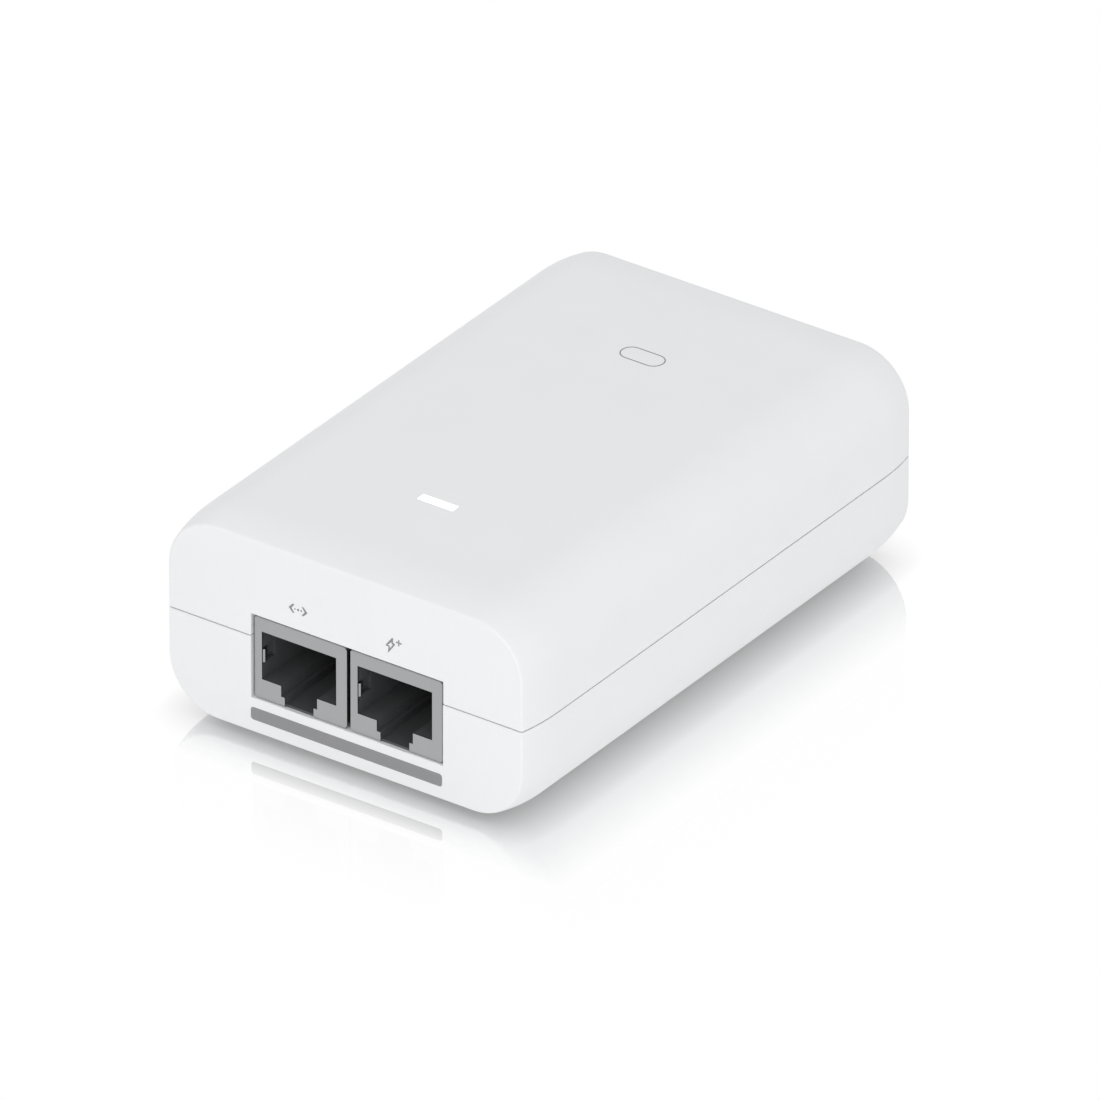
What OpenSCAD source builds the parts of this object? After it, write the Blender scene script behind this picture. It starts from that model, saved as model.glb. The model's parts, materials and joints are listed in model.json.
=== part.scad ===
// Power-over-Ethernet injector: a two-shell desktop case with two shielded
// network jacks at one end and a mains inlet at the other.
// Origin: centre of the footprint, on the surface the feet stand on.
// +X is to the right of someone facing the jacks, -Y is the jack end, +Z is up.

/* [Case] */
// Width of the case
case_w = 63; // [62:0.5:70]
// Length of the case, from the jack end to the mains end
case_l = 96; // [95:0.5:110]
// Height of the case without its feet
case_h = 33.6; // [33:0.1:38]
// Radius of the four long corners
case_corner_r = 9.5; // [8:0.1:10.5]
// Thickness of the moulded walls
wall = 2.2; // [1.8:0.1:2.4]
// Length over which each end draws in
taper_l = 7.5; // [5:0.5:10]
// How far the sides draw in at each end
taper_side = 0.9; // [0.4:0.1:1.2]
// How far the top and the bottom draw in at each end
taper_top = 1.1; // [0.4:0.1:1.4]
// Radius of the edge round each end face
end_edge_r = 0.3; // [0.2:0.1:0.8]

/* [Parting line] */
// Height of the parting line above the underside of the case
seam_h = 16.7; // [16:0.1:18]
// Open gap seen between the two shells
seam_gap = 0.16; // [0.1:0.02:0.3]
// Height of the locating lip on the bottom shell
lip_h = 1.3; // [0.8:0.1:2]
// Thickness of the locating lip
lip_t = 0.9; // [0.7:0.1:1.1]
// Clearance round the locating lip
lip_clear = 0.15; // [0.1:0.05:0.25]

/* [Jacks] */
// Sideways place of the pair of jacks
jack_pair_x = 0.35; // [-0.5:0.05:0.5]
// Width of one jack across its shield
jack_w = 16; // [15.8:0.1:16.2]
// Height of one jack
jack_h = 13.25; // [13:0.05:13.6]
// Length of one jack, front to back
jack_l = 20.8; // [19:0.1:21.2]
// Gap between the two jacks
jack_gap = 0.6; // [0.3:0.1:0.8]
// How far the jacks sit behind the end face
jack_recess = 0.36; // [0.2:0.02:0.8]
// Thickness of the shield sheet
shield_t = 0.25; // [0.2:0.05:0.3]
// Width of the plug opening
plug_w = 12.9; // [12.4:0.1:13]
// Height of the plug opening
plug_h = 7.8; // [7.2:0.1:8]
// Sheet left above the plug opening
plug_top = 2.2; // [2:0.1:2.6]
// Sideways offset of the plug opening in the shield
plug_x = -0.22; // [-0.3:0.02:0.3]
// Depth of the plug cavity
plug_depth = 14.5; // [13:0.5:15]
// Width of the upper step of the latch slot
latch_w = 6.25; // [6:0.05:6.6]
// Height of the upper step of the latch slot
latch_step_h = 1.75; // [1.2:0.05:1.8]
// Width of the lower step of the latch slot
latch_low_w = 5; // [4.6:0.1:5.4]
// Clearance at the sides of the pair of jacks in the window
window_side_clear = 0.34; // [0.2:0.02:0.5]
// Clearance below the jacks in the window
window_clear = 0.06; // [0.05:0.01:0.2]
// Clearance above the jacks in the window
window_top_clear = 0.36; // [0.06:0.02:0.5]
// How far the window reaches below the parting line
window_drop = 10; // [9:0.01:10.2]
// Number of contacts in a jack
contact_n = 8; // [4:2:8]
// Spacing of the contacts
contact_pitch = 1.02; // [0.9:0.01:1.1]
// Thickness of a contact
contact_t = 0.3; // [0.25:0.05:0.35]

/* [Light] */
// Length of the light bar on the top
light_l = 6; // [5:0.1:7]
// Width of the light bar
light_w = 1.4; // [1.2:0.1:1.8]
// Clearance round the light bar in its slot
light_clear = 0.05; // [0.03:0.01:0.1]
// Gap between the jacks and the light guide
light_gap = 0.35; // [0.3:0.05:0.6]

/* [Mains inlet] */
// Width of the inlet's well
well_w = 24.4; // [24.2:0.1:24.8]
// Height of the inlet's well
well_h = 16.4; // [16.2:0.1:16.8]
// Depth of the inlet's well
well_depth = 16; // [15:0.5:17]
// Leg of the two cut corners of the well
well_chamfer = 4.9; // [4.5:0.1:5.2]
// Wall round the well
well_wall = 1.7; // [1.4:0.1:1.8]
// Thickness of the base behind the well
well_base = 3.5; // [3:0.5:4]
// Distance between the line pin and the neutral pin
pin_pitch = 14; // [13.8:0.1:14.2]
// How far the earth pin sits above the other two
earth_rise = 4; // [3.8:0.1:4.2]
// Height of a pin's section
pin_h = 4; // [3.8:0.1:4.1]
// Thickness of a pin
pin_t = 2; // [1.9:0.1:2.1]
// How far the line and neutral pins stop inside the mouth
pin_short = 1.2; // [0.8:0.1:2]

/* [Board] */
// Thickness of the board
board_t = 1.6; // [1.2:0.2:1.6]
// Clearance between the board and the side walls
board_side_clear = 0.5; // [0.3:0.1:0.8]
// Clearance between the board and the end walls
board_end_clear = 0.5; // [0.3:0.1:0.8]

/* [Fastening] */
// Diameter of a foot
foot_d = 9; // [7:0.5:10]
// How far a foot stands out under the case
foot_stand = 0.4; // [0.3:0.1:1]
// Depth of a foot's recess
foot_recess = 0.8; // [0.5:0.1:1]
// Clearance round a foot
foot_clear = 0.15; // [0.1:0.05:0.3]
// Diameter of a screw's thread
screw_d = 3; // [2.5:0.1:3]
// Diameter of a screw's head
screw_head_d = 5.6; // [5:0.1:6]
// Height of a screw's head
screw_head_h = 2; // [1.5:0.1:2.2]
// Depth to which a screw bites into the top shell
screw_bite = 8; // [6:0.5:10]
// Diameter of a bottom boss
boss_d = 8; // [7.5:0.1:8.5]
// Diameter of a pillar of the top shell
pillar_d = 6.8; // [6:0.1:7]
// Distance of the screws from the end faces
pillar_inset = 8; // [7:0.5:9]
// Distance of the feet from the end faces
foot_inset = 20; // [15:1:30]

/* [Power parts] */
// Diameter of a mains reservoir capacitor
bulk_d = 12.5; // [10:0.5:12.5]
// Height of a mains reservoir capacitor
bulk_h = 18; // [16:0.5:20]
// Diameter of an output capacitor
out_cap_d = 8; // [6.5:0.5:8.5]
// Height of an output capacitor
out_cap_h = 16; // [12:0.5:20]
// Width of the transformer core
core_w = 25; // [20:0.5:25]
// Height of the transformer core
core_h = 17; // [15:0.5:20]
// Thickness of the transformer core
core_t = 7.4; // [6:0.2:8]
// Width of one side leg of the transformer core
core_leg = 3.4; // [3:0.1:3.6]
// Outer diameter of the mains choke's ring
choke_d = 13; // [11:0.5:13]
// Inner diameter of the mains choke's ring
choke_bore_d = 6.4; // [6:0.2:7]
// Height of the mains choke's ring
choke_h = 5; // [4:0.5:6]
// Height of a heat sink
sink_h = 18; // [15:0.5:20]
// Length of a heat sink
sink_l = 13; // [12:0.5:14]
// Thickness of a heat sink's back plate
sink_t = 1.6; // [1.2:0.1:2]

/* [Hidden] */

$fn = 48;
// Overshoot of every cut past the face it opens
over = 1;
// Clearance at which loose pieces face each other
fit = 0.1;

// Case
case_z0 = foot_stand;
case_z1 = case_z0 + case_h;
seam_z = case_z0 + seam_h;
case_mid_z = (case_z0 + case_z1) / 2;
end_y = case_l / 2;
inner_end_y = end_y - wall;
floor_z = case_z0 + wall;
roof_z = case_z1 - wall;
corner_steps = 12;
taper_steps = 6;
edge_steps = 3;
rib_t = 1.4;
rib_clear = 0.2;

// Jacks and their window
jack_pitch = jack_w + jack_gap;
data_jack_x = jack_pair_x - jack_pitch / 2;
power_jack_x = jack_pair_x + jack_pitch / 2;
jack_front_y = -end_y + jack_recess;
jack_rear_y = jack_front_y + jack_l;
window_w = 2 * jack_w + jack_gap + 2 * window_side_clear;
window_h = jack_h + window_clear + window_top_clear;
window_z0 = seam_z - window_drop;
jack_z0 = window_z0 + window_clear;
jack_z1 = jack_z0 + jack_h;
plug_z1 = jack_z1 - plug_top;
plug_z0 = plug_z1 - plug_h;
latch_z0 = plug_z0 - latch_step_h;
insert_floor = 0.35;
insert_clear = 0.03;
insert_front_y = jack_front_y + shield_t + insert_clear;
insert_rear_y = jack_rear_y - 2.1;
spring_h = 2.1;
spring_drop = 3.08;
spring_in = 0.18;
spring_ramp = 0.27;
spring_flat = 0.15;
spring_back = 1.1;
spring_out = 0.38;
spring_t = 0.2;
spring_l = 1.6;
spring_slot_l = 3;
spring_slot_over = 0.35;
shield_corner_r = 0.6;
shield_bend = 0.12;
groove_w = contact_t + 0.25;
groove_h = 0.75;
groove_start = 1.6;

// Contacts: a blade that hangs back into the cavity, a run in its groove and a tail
blade_front = 2.6;
blade_back = 10.5;
blade_drop = 3.1;
tail_sole = 0.9;

// Board, seated on the bosses and level with the underside of the jacks
board_z1 = jack_z0;
board_z0 = board_z1 - board_t;
corner_x = case_w / 2 - case_corner_r;
corner_z = case_z0 + case_corner_r;
board_half_w = corner_x - board_side_clear
    + sqrt(pow(case_corner_r - wall, 2) - pow(corner_z - board_z0, 2));
board_l = case_l - 2 * wall - 2 * board_end_clear;
rest_reach = 1.2;
rest_pitch = 20;
sheet_t = 0.3;
sheet_inset = 3;

// Fastening: the pillars stand just outside the jacks
pillar_gap = 0.5;
pillar_x = abs(jack_pair_x) + window_w / 2 + pillar_gap + pillar_d / 2;
pillars = [for (sx = [-1, 1], sy = [-1, 1]) [sx * pillar_x, sy * (end_y - pillar_inset)]];
foot_margin = 0.5;
feet = [for (sx = [-1, 1], sy = [-1, 1])
    [sx * (corner_x - foot_d / 2 - foot_margin), sy * (end_y - foot_inset)]];
head_sink = 0.6;
head_clear = 0.3;
hole_clear = 0.2;
thread_depth = 0.25;
pilot_clear = 0.02;
head_seat_z = case_z0 + head_sink + screw_head_h;
counterbore_d = screw_head_d + 2 * head_clear;
screw_hole_d = screw_d + 2 * hole_clear;
core_d = screw_d - 2 * thread_depth;
pilot_d = core_d + 2 * pilot_clear;
screw_tip_z = board_z1 + screw_bite;

// Inlet
inlet_w = well_w + 2 * well_wall;
inlet_h = well_h + 2 * well_wall;
inlet_z0 = board_z1;
inlet_mid_z = inlet_z0 + inlet_h / 2;
inlet_set_back = 0.2;
inlet_front_y = end_y - inlet_set_back;
inlet_rear_y = inlet_front_y - well_depth - well_base;
inlet_flange = 1.2;
inlet_flange_t = 1.5;
inlet_clear = 0.15;
inlet_tail_t = 1;
inlet_tail_y = inlet_rear_y - inlet_tail_t;
earth_z = inlet_mid_z + earth_rise / 2;
mains_pin_z = inlet_mid_z - earth_rise / 2;

// Light guide, just behind the jacks
light_offset = 0.05;
light_x = jack_pair_x + light_offset;
light_y = jack_rear_y + light_gap + light_w / 2;
collar = 1.2;
collar_h = 2.2;
led_h = 0.9;
led_l = 3.2;
guide_lift = 0.2;
guide_flange = 0.9;
guide_flange_out = 0.3;

// Spacing and leads of the parts on the board
part_gap = 0.6;
edge_gap = 0.5;
lead_pitch = 5;
small_pitch = 3.5;
lead_d = 0.8;
lead_hole_d = lead_d + 0.3;
lead_stub = 1;
chip_lead = 1;
chip_lead_t = 0.3;
chip_h = 1.1;

// Parts behind the jacks
magnetics_w = 14.6;
magnetics_d = 7;
magnetics_h = 5.8;
magnetics_y = light_y + light_w / 2 + part_gap + chip_lead + magnetics_d / 2;
magnetics_pitch = magnetics_w + part_gap;
port_chip_w = 6;
opto_w = 4.4;
opto_d = 3.6;
opto_h = 2.1;
iso_cap_d = 7.5;
iso_cap_t = 3.2;
disc_lift = 2.4;
isolation_w = max(opto_d, iso_cap_t) + part_gap;
isolation_y = magnetics_y + magnetics_d / 2 + chip_lead + isolation_w / 2;

// Parts along the left edge: output capacitors from the jacks, reservoir from the inlet
out_cap_x = -board_half_w + edge_gap + out_cap_d / 2;
out_cap_front_y = jack_rear_y + part_gap + out_cap_d / 2;
out_cap_back_y = out_cap_front_y + out_cap_d + part_gap;
bulk_x = -board_half_w + edge_gap + bulk_d / 2;
bulk_back_y = inlet_rear_y - part_gap - bulk_d / 2;
bulk_front_y = bulk_back_y - bulk_d - part_gap;

// Parts along the right edge
choke_out_d = 8;
choke_out_h = 12;
choke_out_x = board_half_w - edge_gap - choke_out_d / 2;
choke_out_y = jack_rear_y + part_gap + choke_out_d / 2;
fins = 5;
fin_l = 1.6;
fin_t = 0.9;
sink_x = board_half_w - edge_gap - sink_t / 2 - fin_l;
package_w = 10;
package_t = 4.4;
package_h = 15;
package_lift = 3;
package_pitch = 2.54;
package_x = sink_x - sink_t / 2 - package_t / 2;
package_z0 = board_z1 + package_lift;
device_hole_z = package_z0 + package_h - 3;
rectifier_y = choke_out_y + choke_out_d / 2 + part_gap + sink_l / 2;
transistor_y = rectifier_y + sink_l + part_gap;

// Transformer, between the edge parts
winding_d = 18;
transformer_x = (bulk_x + bulk_d / 2 + package_x - package_t / 2 - screw_head_h) / 2;
transformer_y = isolation_y + isolation_w / 2 + winding_d / 2;
bobbin_wall = 0.8;
flange_t = 1;
base_h = 3;
base_d = 3.4;
winding_inset = 0.4;
winding_r = 3;
core_yoke = 3.4;
centre_leg = 7.2;
core_z0 = board_z1 + base_h;
bobbin_z0 = core_z0 + core_yoke + fit;
bobbin_z1 = core_z0 + core_h - core_yoke - fit;
window_core_w = (core_w - 2 * core_leg - centre_leg) / 2;
winding_w = core_w - 2 * core_leg - 2 * fit;
transformer_pitch = 3.8;
transformer_pin_in = 0.9;
controller_w = 5;
controller_d = 4;

// Filter parts, in front of the inlet and its tails, and the fuse beside the inlet
filter_y = inlet_tail_y - inlet_tail_t / 2 - 2 * part_gap;
wire_t = 0.8;
choke_x = bulk_x + bulk_d / 2 + part_gap + choke_d / 2 + wire_t;
choke_y = filter_y - choke_h / 2 - wire_t;
choke_mid_z = board_z1 + part_gap + wire_t + choke_d / 2;
choke_turn = 130;
choke_pin_x = 4.5;
choke_pin_y = 1.5;
varistor_d = 8.6;
varistor_t = 3.6;
varistor_x = choke_x + choke_d / 2 + wire_t + part_gap + varistor_t / 2;
varistor_y = filter_y - varistor_d / 2;
box_cap_l = 13;
box_cap_t = 5.5;
box_cap_h = 11;
box_cap_pitch = 10;
box_cap_x = board_half_w - edge_gap - box_cap_l / 2;
box_cap_y = filter_y - box_cap_t / 2;
bridge_w = 5;
bridge_d = 4.4;
fuse_d = 8.4;
fuse_h = 7.6;
fuse_x = board_half_w - edge_gap - fuse_d / 2;
fuse_y = filter_y + part_gap + fuse_d / 2;

// Places of the leads that pass through the board, as [x, y] points
function pair(x, y, pitch = lead_pitch) = [for (s = [-1, 1]) [x + s * pitch / 2, y]];
function pair_along(x, y) = [for (s = [-1, 1]) [x, y + s * lead_pitch / 2]];
function package_places(y) = [for (i = [-1:1]) [package_x, y + package_pitch * i]];
transformer_pins = [for (sy = [-1, 1], i = [-2:2])
    [transformer_x + i * transformer_pitch, transformer_y + sy * (winding_d / 2 - transformer_pin_in)]];
inlet_tails = [for (i = [-1:1]) [i * pin_pitch / 2, inlet_tail_y]];
choke_pins = [for (sx = [-1, 1], sy = [-1, 1])
    [choke_x + sx * choke_pin_x, choke_y + sy * choke_pin_y]];
board_leads = concat(
    pair(out_cap_x, out_cap_front_y, small_pitch), pair(out_cap_x, out_cap_back_y, small_pitch),
    pair(choke_out_x, choke_out_y, small_pitch), pair(bulk_x, bulk_front_y),
    pair(bulk_x, bulk_back_y), pair(fuse_x, fuse_y), pair_along(varistor_x, varistor_y),
    pair(box_cap_x, box_cap_y, box_cap_pitch), pair(data_jack_x, isolation_y),
    package_places(rectifier_y), package_places(transistor_y), transformer_pins, choke_pins);
jack_peg_d = 1.6;
jack_peg_x = 5.7;
jack_peg_back = 9;
jack_peg_l = 0.5;
jack_peg_y = jack_front_y + jack_peg_back;
jack_pegs = [for (x = [data_jack_x, power_jack_x], s = [-1, 1]) [x + s * jack_peg_x, jack_peg_y]];

/* ---------- shared shapes ---------- */

// How far a side has drawn in at the distance t past the start of the taper
function drawn_in(t, depth) = t <= 0 ? 0
    : let (r = (taper_l * taper_l + depth * depth) / (2 * depth)) r - sqrt(r * r - t * t);

// Extra inset of the small round edge at the distance s past its start
function edge_in(s) = s <= 0 ? 0 : end_edge_r - sqrt(max(0, end_edge_r * end_edge_r - s * s));

// Distances from the middle at which the skin gets a ring
function ring_places() = let (
        start = end_y - taper_l,
        edge = end_y - end_edge_r,
        taper = [for (i = [0:taper_steps]) start + (edge - start) * i / taper_steps],
        round_edge = [for (i = [1:edge_steps]) edge + end_edge_r * sin(90 * i / edge_steps)])
    concat(taper, round_edge);

// One ring of the skin at the distance d from the middle, as [x, z] points
function ring(d) = let (
        t = d - (end_y - taper_l),
        edge = edge_in(d - (end_y - end_edge_r)),
        in_x = drawn_in(t, taper_side) + edge,
        in_z = drawn_in(t, taper_top) + edge,
        r = case_corner_r - (in_x + in_z) / 2,
        cx = case_w / 2 - in_x - r,
        cz = case_h / 2 - in_z - r)
    [for (q = [0:3], i = [0:corner_steps])
        let (a = 90 * q + 90 * i / corner_steps,
             sx = (q == 0 || q == 3) ? 1 : -1,
             sz = q < 2 ? 1 : -1)
        [sx * cx + r * cos(a), sz * cz + r * sin(a)]];

// Outer skin of the whole case: rings of one section, drawn in at both ends
module case_skin() {
    places = ring_places();
    count = len(places);
    ys = concat([for (i = [count - 1:-1:0]) -places[i]], places);
    n = 4 * (corner_steps + 1);
    points = [for (y = ys) for (p = ring(abs(y))) [p[0], y, case_mid_z + p[1]]];
    last = len(ys) - 1;
    sides = [for (k = [0:last - 1], j = [0:n - 1])
        let (a = k * n, b = (j + 1) % n) [a + j, a + b, a + n + b, a + n + j]];
    polyhedron(points, concat([[for (j = [n - 1:-1:0]) j]], sides, [[for (j = [0:n - 1]) last * n + j]]));
}

module rounded_rect(w, h, r) {
    square([w - 2 * r, h], center = true);
    square([w, h - 2 * r], center = true);
    for (sx = [-1, 1], sy = [-1, 1])
        translate([sx * (w / 2 - r), sy * (h / 2 - r)]) circle(r = r);
}

// Straight block of the case's section, inset all round
module case_core(inset) {
    translate([0, 0, case_mid_z]) rotate([90, 0, 0])
        linear_extrude(case_l - 2 * inset, center = true)
            rounded_rect(case_w - 2 * inset, case_h - 2 * inset, case_corner_r - inset);
}

// Box that stands on z0 and is centred on x and y
module block(x, y, z0, size) {
    translate([x - size[0] / 2, y - size[1] / 2, z0]) cube(size);
}

module rod(x, y, z0, z1, d) {
    translate([x, y, z0]) cylinder(d = d, h = z1 - z0);
}

// Flat strip of thickness t along a path of [y, z] points
module strip_2d(path, t) {
    for (i = [0:len(path) - 2]) {
        step = path[i + 1] - path[i];
        translate(path[i]) rotate(atan2(step[1], step[0]))
            translate([0, -t / 2]) square([norm(step), t]);
    }
    for (p = path) translate(p) circle(d = t);
}

// A [y, z] outline given thickness w along x
module along_x(x, w) {
    translate([x - w / 2, 0, 0]) rotate([90, 0, 90]) linear_extrude(w) children();
}

module leads(places, top) {
    for (p = places) rod(p[0], p[1], board_z0 - lead_stub, top, lead_d);
}

/* ---------- case ---------- */

// Space between the shells that the jacks fill
module window_cut() {
    block(jack_pair_x, -end_y, window_z0, [window_w, 2 * (wall + over), window_h]);
}

module inlet_outline(grow) {
    half_w = inlet_w / 2 + grow;
    half_h = inlet_h / 2 + grow;
    cut = well_chamfer + 0.6 * well_wall;
    polygon([[-half_w, -half_h], [half_w, -half_h], [half_w, half_h - cut],
        [half_w - cut, half_h], [-half_w + cut, half_h], [-half_w, half_h - cut]]);
}

module inlet_prism(y0, y1, grow) {
    translate([0, y1, inlet_mid_z]) rotate([90, 0, 0]) linear_extrude(y1 - y0) inlet_outline(grow);
}

module lip_block(grow, z0, z1) {
    w = case_w - 2 * wall + 2 * grow;
    l = case_l - 2 * wall + 2 * grow;
    block(0, 0, z0, [w, l, z1 - z0]);
}

// Pillar of the top shell with a rib out to the side wall
module pillar(p) {
    reach = case_w / 2 - abs(p[0]);
    rib_z0 = seam_z + 2 * lip_h;
    rod(p[0], p[1], board_z1, case_z1, pillar_d);
    block(p[0] + sign(p[0]) * reach / 2, p[1], rib_z0, [reach, rib_t, case_z1 - rib_z0]);
}

// Rib that hangs from the roof over a part and stops just above it
module hold_down(x, y, top, width) {
    block(x, y, top + rib_clear, [width, rib_t, case_z1 - top - rib_clear]);
}

module top_shell() {
    color("whitesmoke") difference() {
        union() {
            difference() {
                intersection() {
                    case_skin();
                    block(0, 0, seam_z + seam_gap / 2, [case_w + over, case_l + over, case_h]);
                }
                case_core(wall);
                lip_block(lip_t + lip_clear, seam_z - over, seam_z + lip_h + lip_clear);
            }
            intersection() {
                union() {
                    for (p = pillars) pillar(p);
                    for (f = [0.25, 0.75])
                        hold_down(jack_pair_x, jack_front_y + f * jack_l, jack_z1, jack_pitch);
                    hold_down(0, inlet_front_y - well_depth / 2, inlet_z0 + inlet_h, pin_pitch);
                    block(light_x, light_y, roof_z - collar_h,
                        [light_l + 2 * collar, light_w + 2 * collar, wall + collar_h]);
                }
                case_core(wall / 2);
            }
        }
        window_cut();
        inlet_prism(inner_end_y - over, end_y + over, inlet_clear);
        block(light_x, light_y, roof_z - collar_h - over,
            [light_l + 2 * light_clear, light_w + 2 * light_clear, collar_h + wall + 2 * over]);
        for (p = pillars) rod(p[0], p[1], board_z1 - over, screw_tip_z + over, pilot_d);
    }
}

module bottom_shell() {
    half_h = seam_h - seam_gap / 2;
    color("whitesmoke") difference() {
        union() {
            difference() {
                union() {
                    intersection() {
                        case_skin();
                        block(0, 0, case_z0 - over, [case_w + over, case_l + over, half_h + over]);
                    }
                    lip_block(lip_t, seam_z - 2 * lip_h, seam_z + lip_h);
                }
                case_core(wall);
            }
            intersection() {
                union() {
                    for (p = pillars) rod(p[0], p[1], case_z0, board_z0, boss_d);
                    for (sx = [-1, 1], y = rest_pitch * [-1, 0, 1])
                        block(sx * (board_half_w - rest_reach + case_w / 4), y, case_z0,
                            [case_w / 2, rib_t, board_z0 - case_z0]);
                }
                case_core(wall / 2);
            }
        }
        window_cut();
        inlet_prism(inner_end_y - over, end_y + over, inlet_clear);
        for (p = pillars) {
            rod(p[0], p[1], case_z0 - over, head_seat_z, counterbore_d);
            rod(p[0], p[1], case_z0, board_z0 + over, screw_hole_d);
        }
        for (p = feet) rod(p[0], p[1], case_z0 - over, case_z0 + foot_recess, foot_d + 2 * foot_clear);
    }
}

module rubber_feet() {
    edge = 0.3;
    color("dimgray") for (p = feet) translate([p[0], p[1], 0]) rotate_extrude() polygon([
        [0, 0], [foot_d / 2 - edge, 0], [foot_d / 2, edge],
        [foot_d / 2, foot_stand + foot_recess], [0, foot_stand + foot_recess]]);
}

// Screw with a pan head that seats at z = 0, pointing up
module screw(length) {
    socket_d = 2.6;
    difference() {
        union() {
            translate([0, 0, -screw_head_h]) cylinder(d = screw_head_d, h = screw_head_h);
            cylinder(d = core_d, h = length);
        }
        translate([0, 0, -screw_head_h - over]) cylinder(d = socket_d, h = over + screw_head_h / 2, $fn = 6);
    }
}

module case_screws() {
    color("silver") for (p = pillars) translate([p[0], p[1], head_seat_z])
        screw(screw_tip_z - head_seat_z);
}

/* ---------- light ---------- */

module light_guide() {
    foot_z = board_z1 + led_h + guide_lift;
    color("white") {
        block(light_x, light_y, foot_z, [light_l, light_w, case_z1 - foot_z]);
        block(light_x, light_y, roof_z - collar_h - fit - guide_flange,
            [light_l + 2 * collar, light_w + 2 * guide_flange_out, guide_flange]);
    }
}

module status_led() {
    color("lightyellow") difference() {
        block(light_x, light_y, board_z1, [led_l, light_w, led_h]);
        rod(light_x, light_y, board_z1 + led_h / 2, board_z1 + led_h + over, 0.75 * light_w);
    }
}

/* ---------- jacks ---------- */

// Outline of the plug opening with its stepped latch slot, from z = low up, as [x, z]
module plug_outline(low) {
    translate([-plug_w / 2, plug_z0]) square([plug_w, plug_h]);
    translate([-latch_w / 2, latch_z0]) square([latch_w, plug_z0 - latch_z0 + plug_h / 2]);
    translate([-latch_low_w / 2, low]) square([latch_low_w, plug_z0 - low + plug_h / 2]);
}

module plug_cut(x, y0, y1, low) {
    translate([x + plug_x, y1, 0]) rotate([90, 0, 0]) linear_extrude(y1 - y0) plug_outline(low);
}

// Grounding spring at both sides of a plug opening: a leaf folded in that bulges and goes back
module side_springs(x, y) {
    flat_end = spring_ramp + spring_flat;
    for (s = [0, 1])
        translate([x + plug_x, y, plug_z1 - spring_drop - spring_h]) mirror([s, 0, 0])
            translate([plug_w / 2, 0, 0]) linear_extrude(spring_h) polygon([
                [fit / 2, 0], [-spring_in, spring_ramp], [-spring_in, flat_end],
                [spring_out, spring_back], [spring_out, spring_l],
                [spring_out + spring_t, spring_l], [spring_out + spring_t, spring_back - spring_t / 2],
                [spring_t - spring_in, flat_end - spring_t / 4], [spring_t + fit / 2, 0]]);
}

// Slots in the insert that clear both springs
module spring_slots(x, y) {
    slot_w = spring_out + spring_t + 2 * fit;
    slot_h = spring_h + spring_slot_over + fit;
    for (s = [-1, 1])
        block(x + plug_x + s * (plug_w + slot_w - over) / 2, y + (spring_slot_l - over) / 2,
            plug_z1 - spring_drop - spring_h - fit, [slot_w + over, spring_slot_l + over, slot_h]);
}

// Outside of a shield: rounded along its length, its front edges bent back
module shield_outside(x) {
    difference() {
        translate([x, jack_rear_y, jack_z0 + jack_h / 2]) rotate([90, 0, 0]) linear_extrude(jack_l)
            rounded_rect(jack_w, jack_h, shield_corner_r);
        for (s = [0, 1]) translate([x, jack_front_y, 0]) mirror([s, 0, 0])
            translate([jack_w / 2, 0, jack_z0 - over]) linear_extrude(jack_h + 2 * over) bend_cut();
        translate([x - jack_w / 2 - over, jack_front_y, jack_z1]) rotate([90, 0, 90])
            linear_extrude(jack_w + 2 * over) mirror([1, -1, 0]) bend_cut();
    }
}

// Corner that the bend takes off: x out of the shield, y back from its front
module bend_cut() {
    polygon([[-shield_bend, 0], [-shield_bend, -over], [over, -over], [over, shield_bend], [0, shield_bend]]);
}

module jack_shield(x) {
    inner_w = jack_w - 2 * shield_t;
    color("silver") {
        difference() {
            shield_outside(x);
            block(x, (jack_front_y + jack_rear_y) / 2, jack_z0 - over,
                [inner_w, jack_l - 2 * shield_t, jack_h - shield_t + over]);
            plug_cut(x, jack_front_y - over, jack_front_y + 2 * shield_t, jack_z0 - over);
        }
        side_springs(x, jack_front_y + shield_t);
    }
}

// Place of a jack's contact number i
function contact_x(x, i) = x + plug_x + (i - (contact_n - 1) / 2) * contact_pitch;

module jack_insert(x) {
    front = insert_front_y;
    rear = insert_rear_y;
    w = jack_w - 2 * shield_t - 2 * insert_clear;
    color("#26262a") {
        difference() {
            block(x, (front + rear) / 2, jack_z0, [w, rear - front, jack_h - shield_t - insert_clear]);
            plug_cut(x, front - over, front + plug_depth, jack_z0 + insert_floor);
            spring_slots(x, jack_front_y + shield_t);
            for (i = [0:contact_n - 1])
                block(contact_x(x, i), (front + groove_start + rear + over) / 2, plug_z1 - over,
                    [groove_w, rear + over - front - groove_start, groove_h + over]);
        }
        for (s = [-1, 1])
            rod(x + s * jack_peg_x, jack_peg_y, board_z0 - jack_peg_l, jack_z0 + insert_floor, jack_peg_d);
    }
}

module jack_contacts(x) {
    bend_y = insert_front_y + blade_front;
    run_z = plug_z1 + groove_h - contact_t / 2 - fit;
    tail_y = insert_rear_y + contact_t;
    sole_z = board_z1 + contact_t / 2;
    path = [[insert_front_y + blade_back, plug_z1 - blade_drop], [bend_y, plug_z1 - fit],
        [bend_y - 2 * fit, run_z], [tail_y, run_z], [tail_y, sole_z], [tail_y + tail_sole, sole_z]];
    color("gold") for (i = [0:contact_n - 1])
        along_x(contact_x(x, i), contact_t) strip_2d(path, contact_t);
}

module data_jack_shield() { jack_shield(data_jack_x); }
module data_jack_insert() { jack_insert(data_jack_x); }
module data_jack_contacts() { jack_contacts(data_jack_x); }
module power_jack_shield() { jack_shield(power_jack_x); }
module power_jack_insert() { jack_insert(power_jack_x); }
module power_jack_contacts() { jack_contacts(power_jack_x); }

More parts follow.
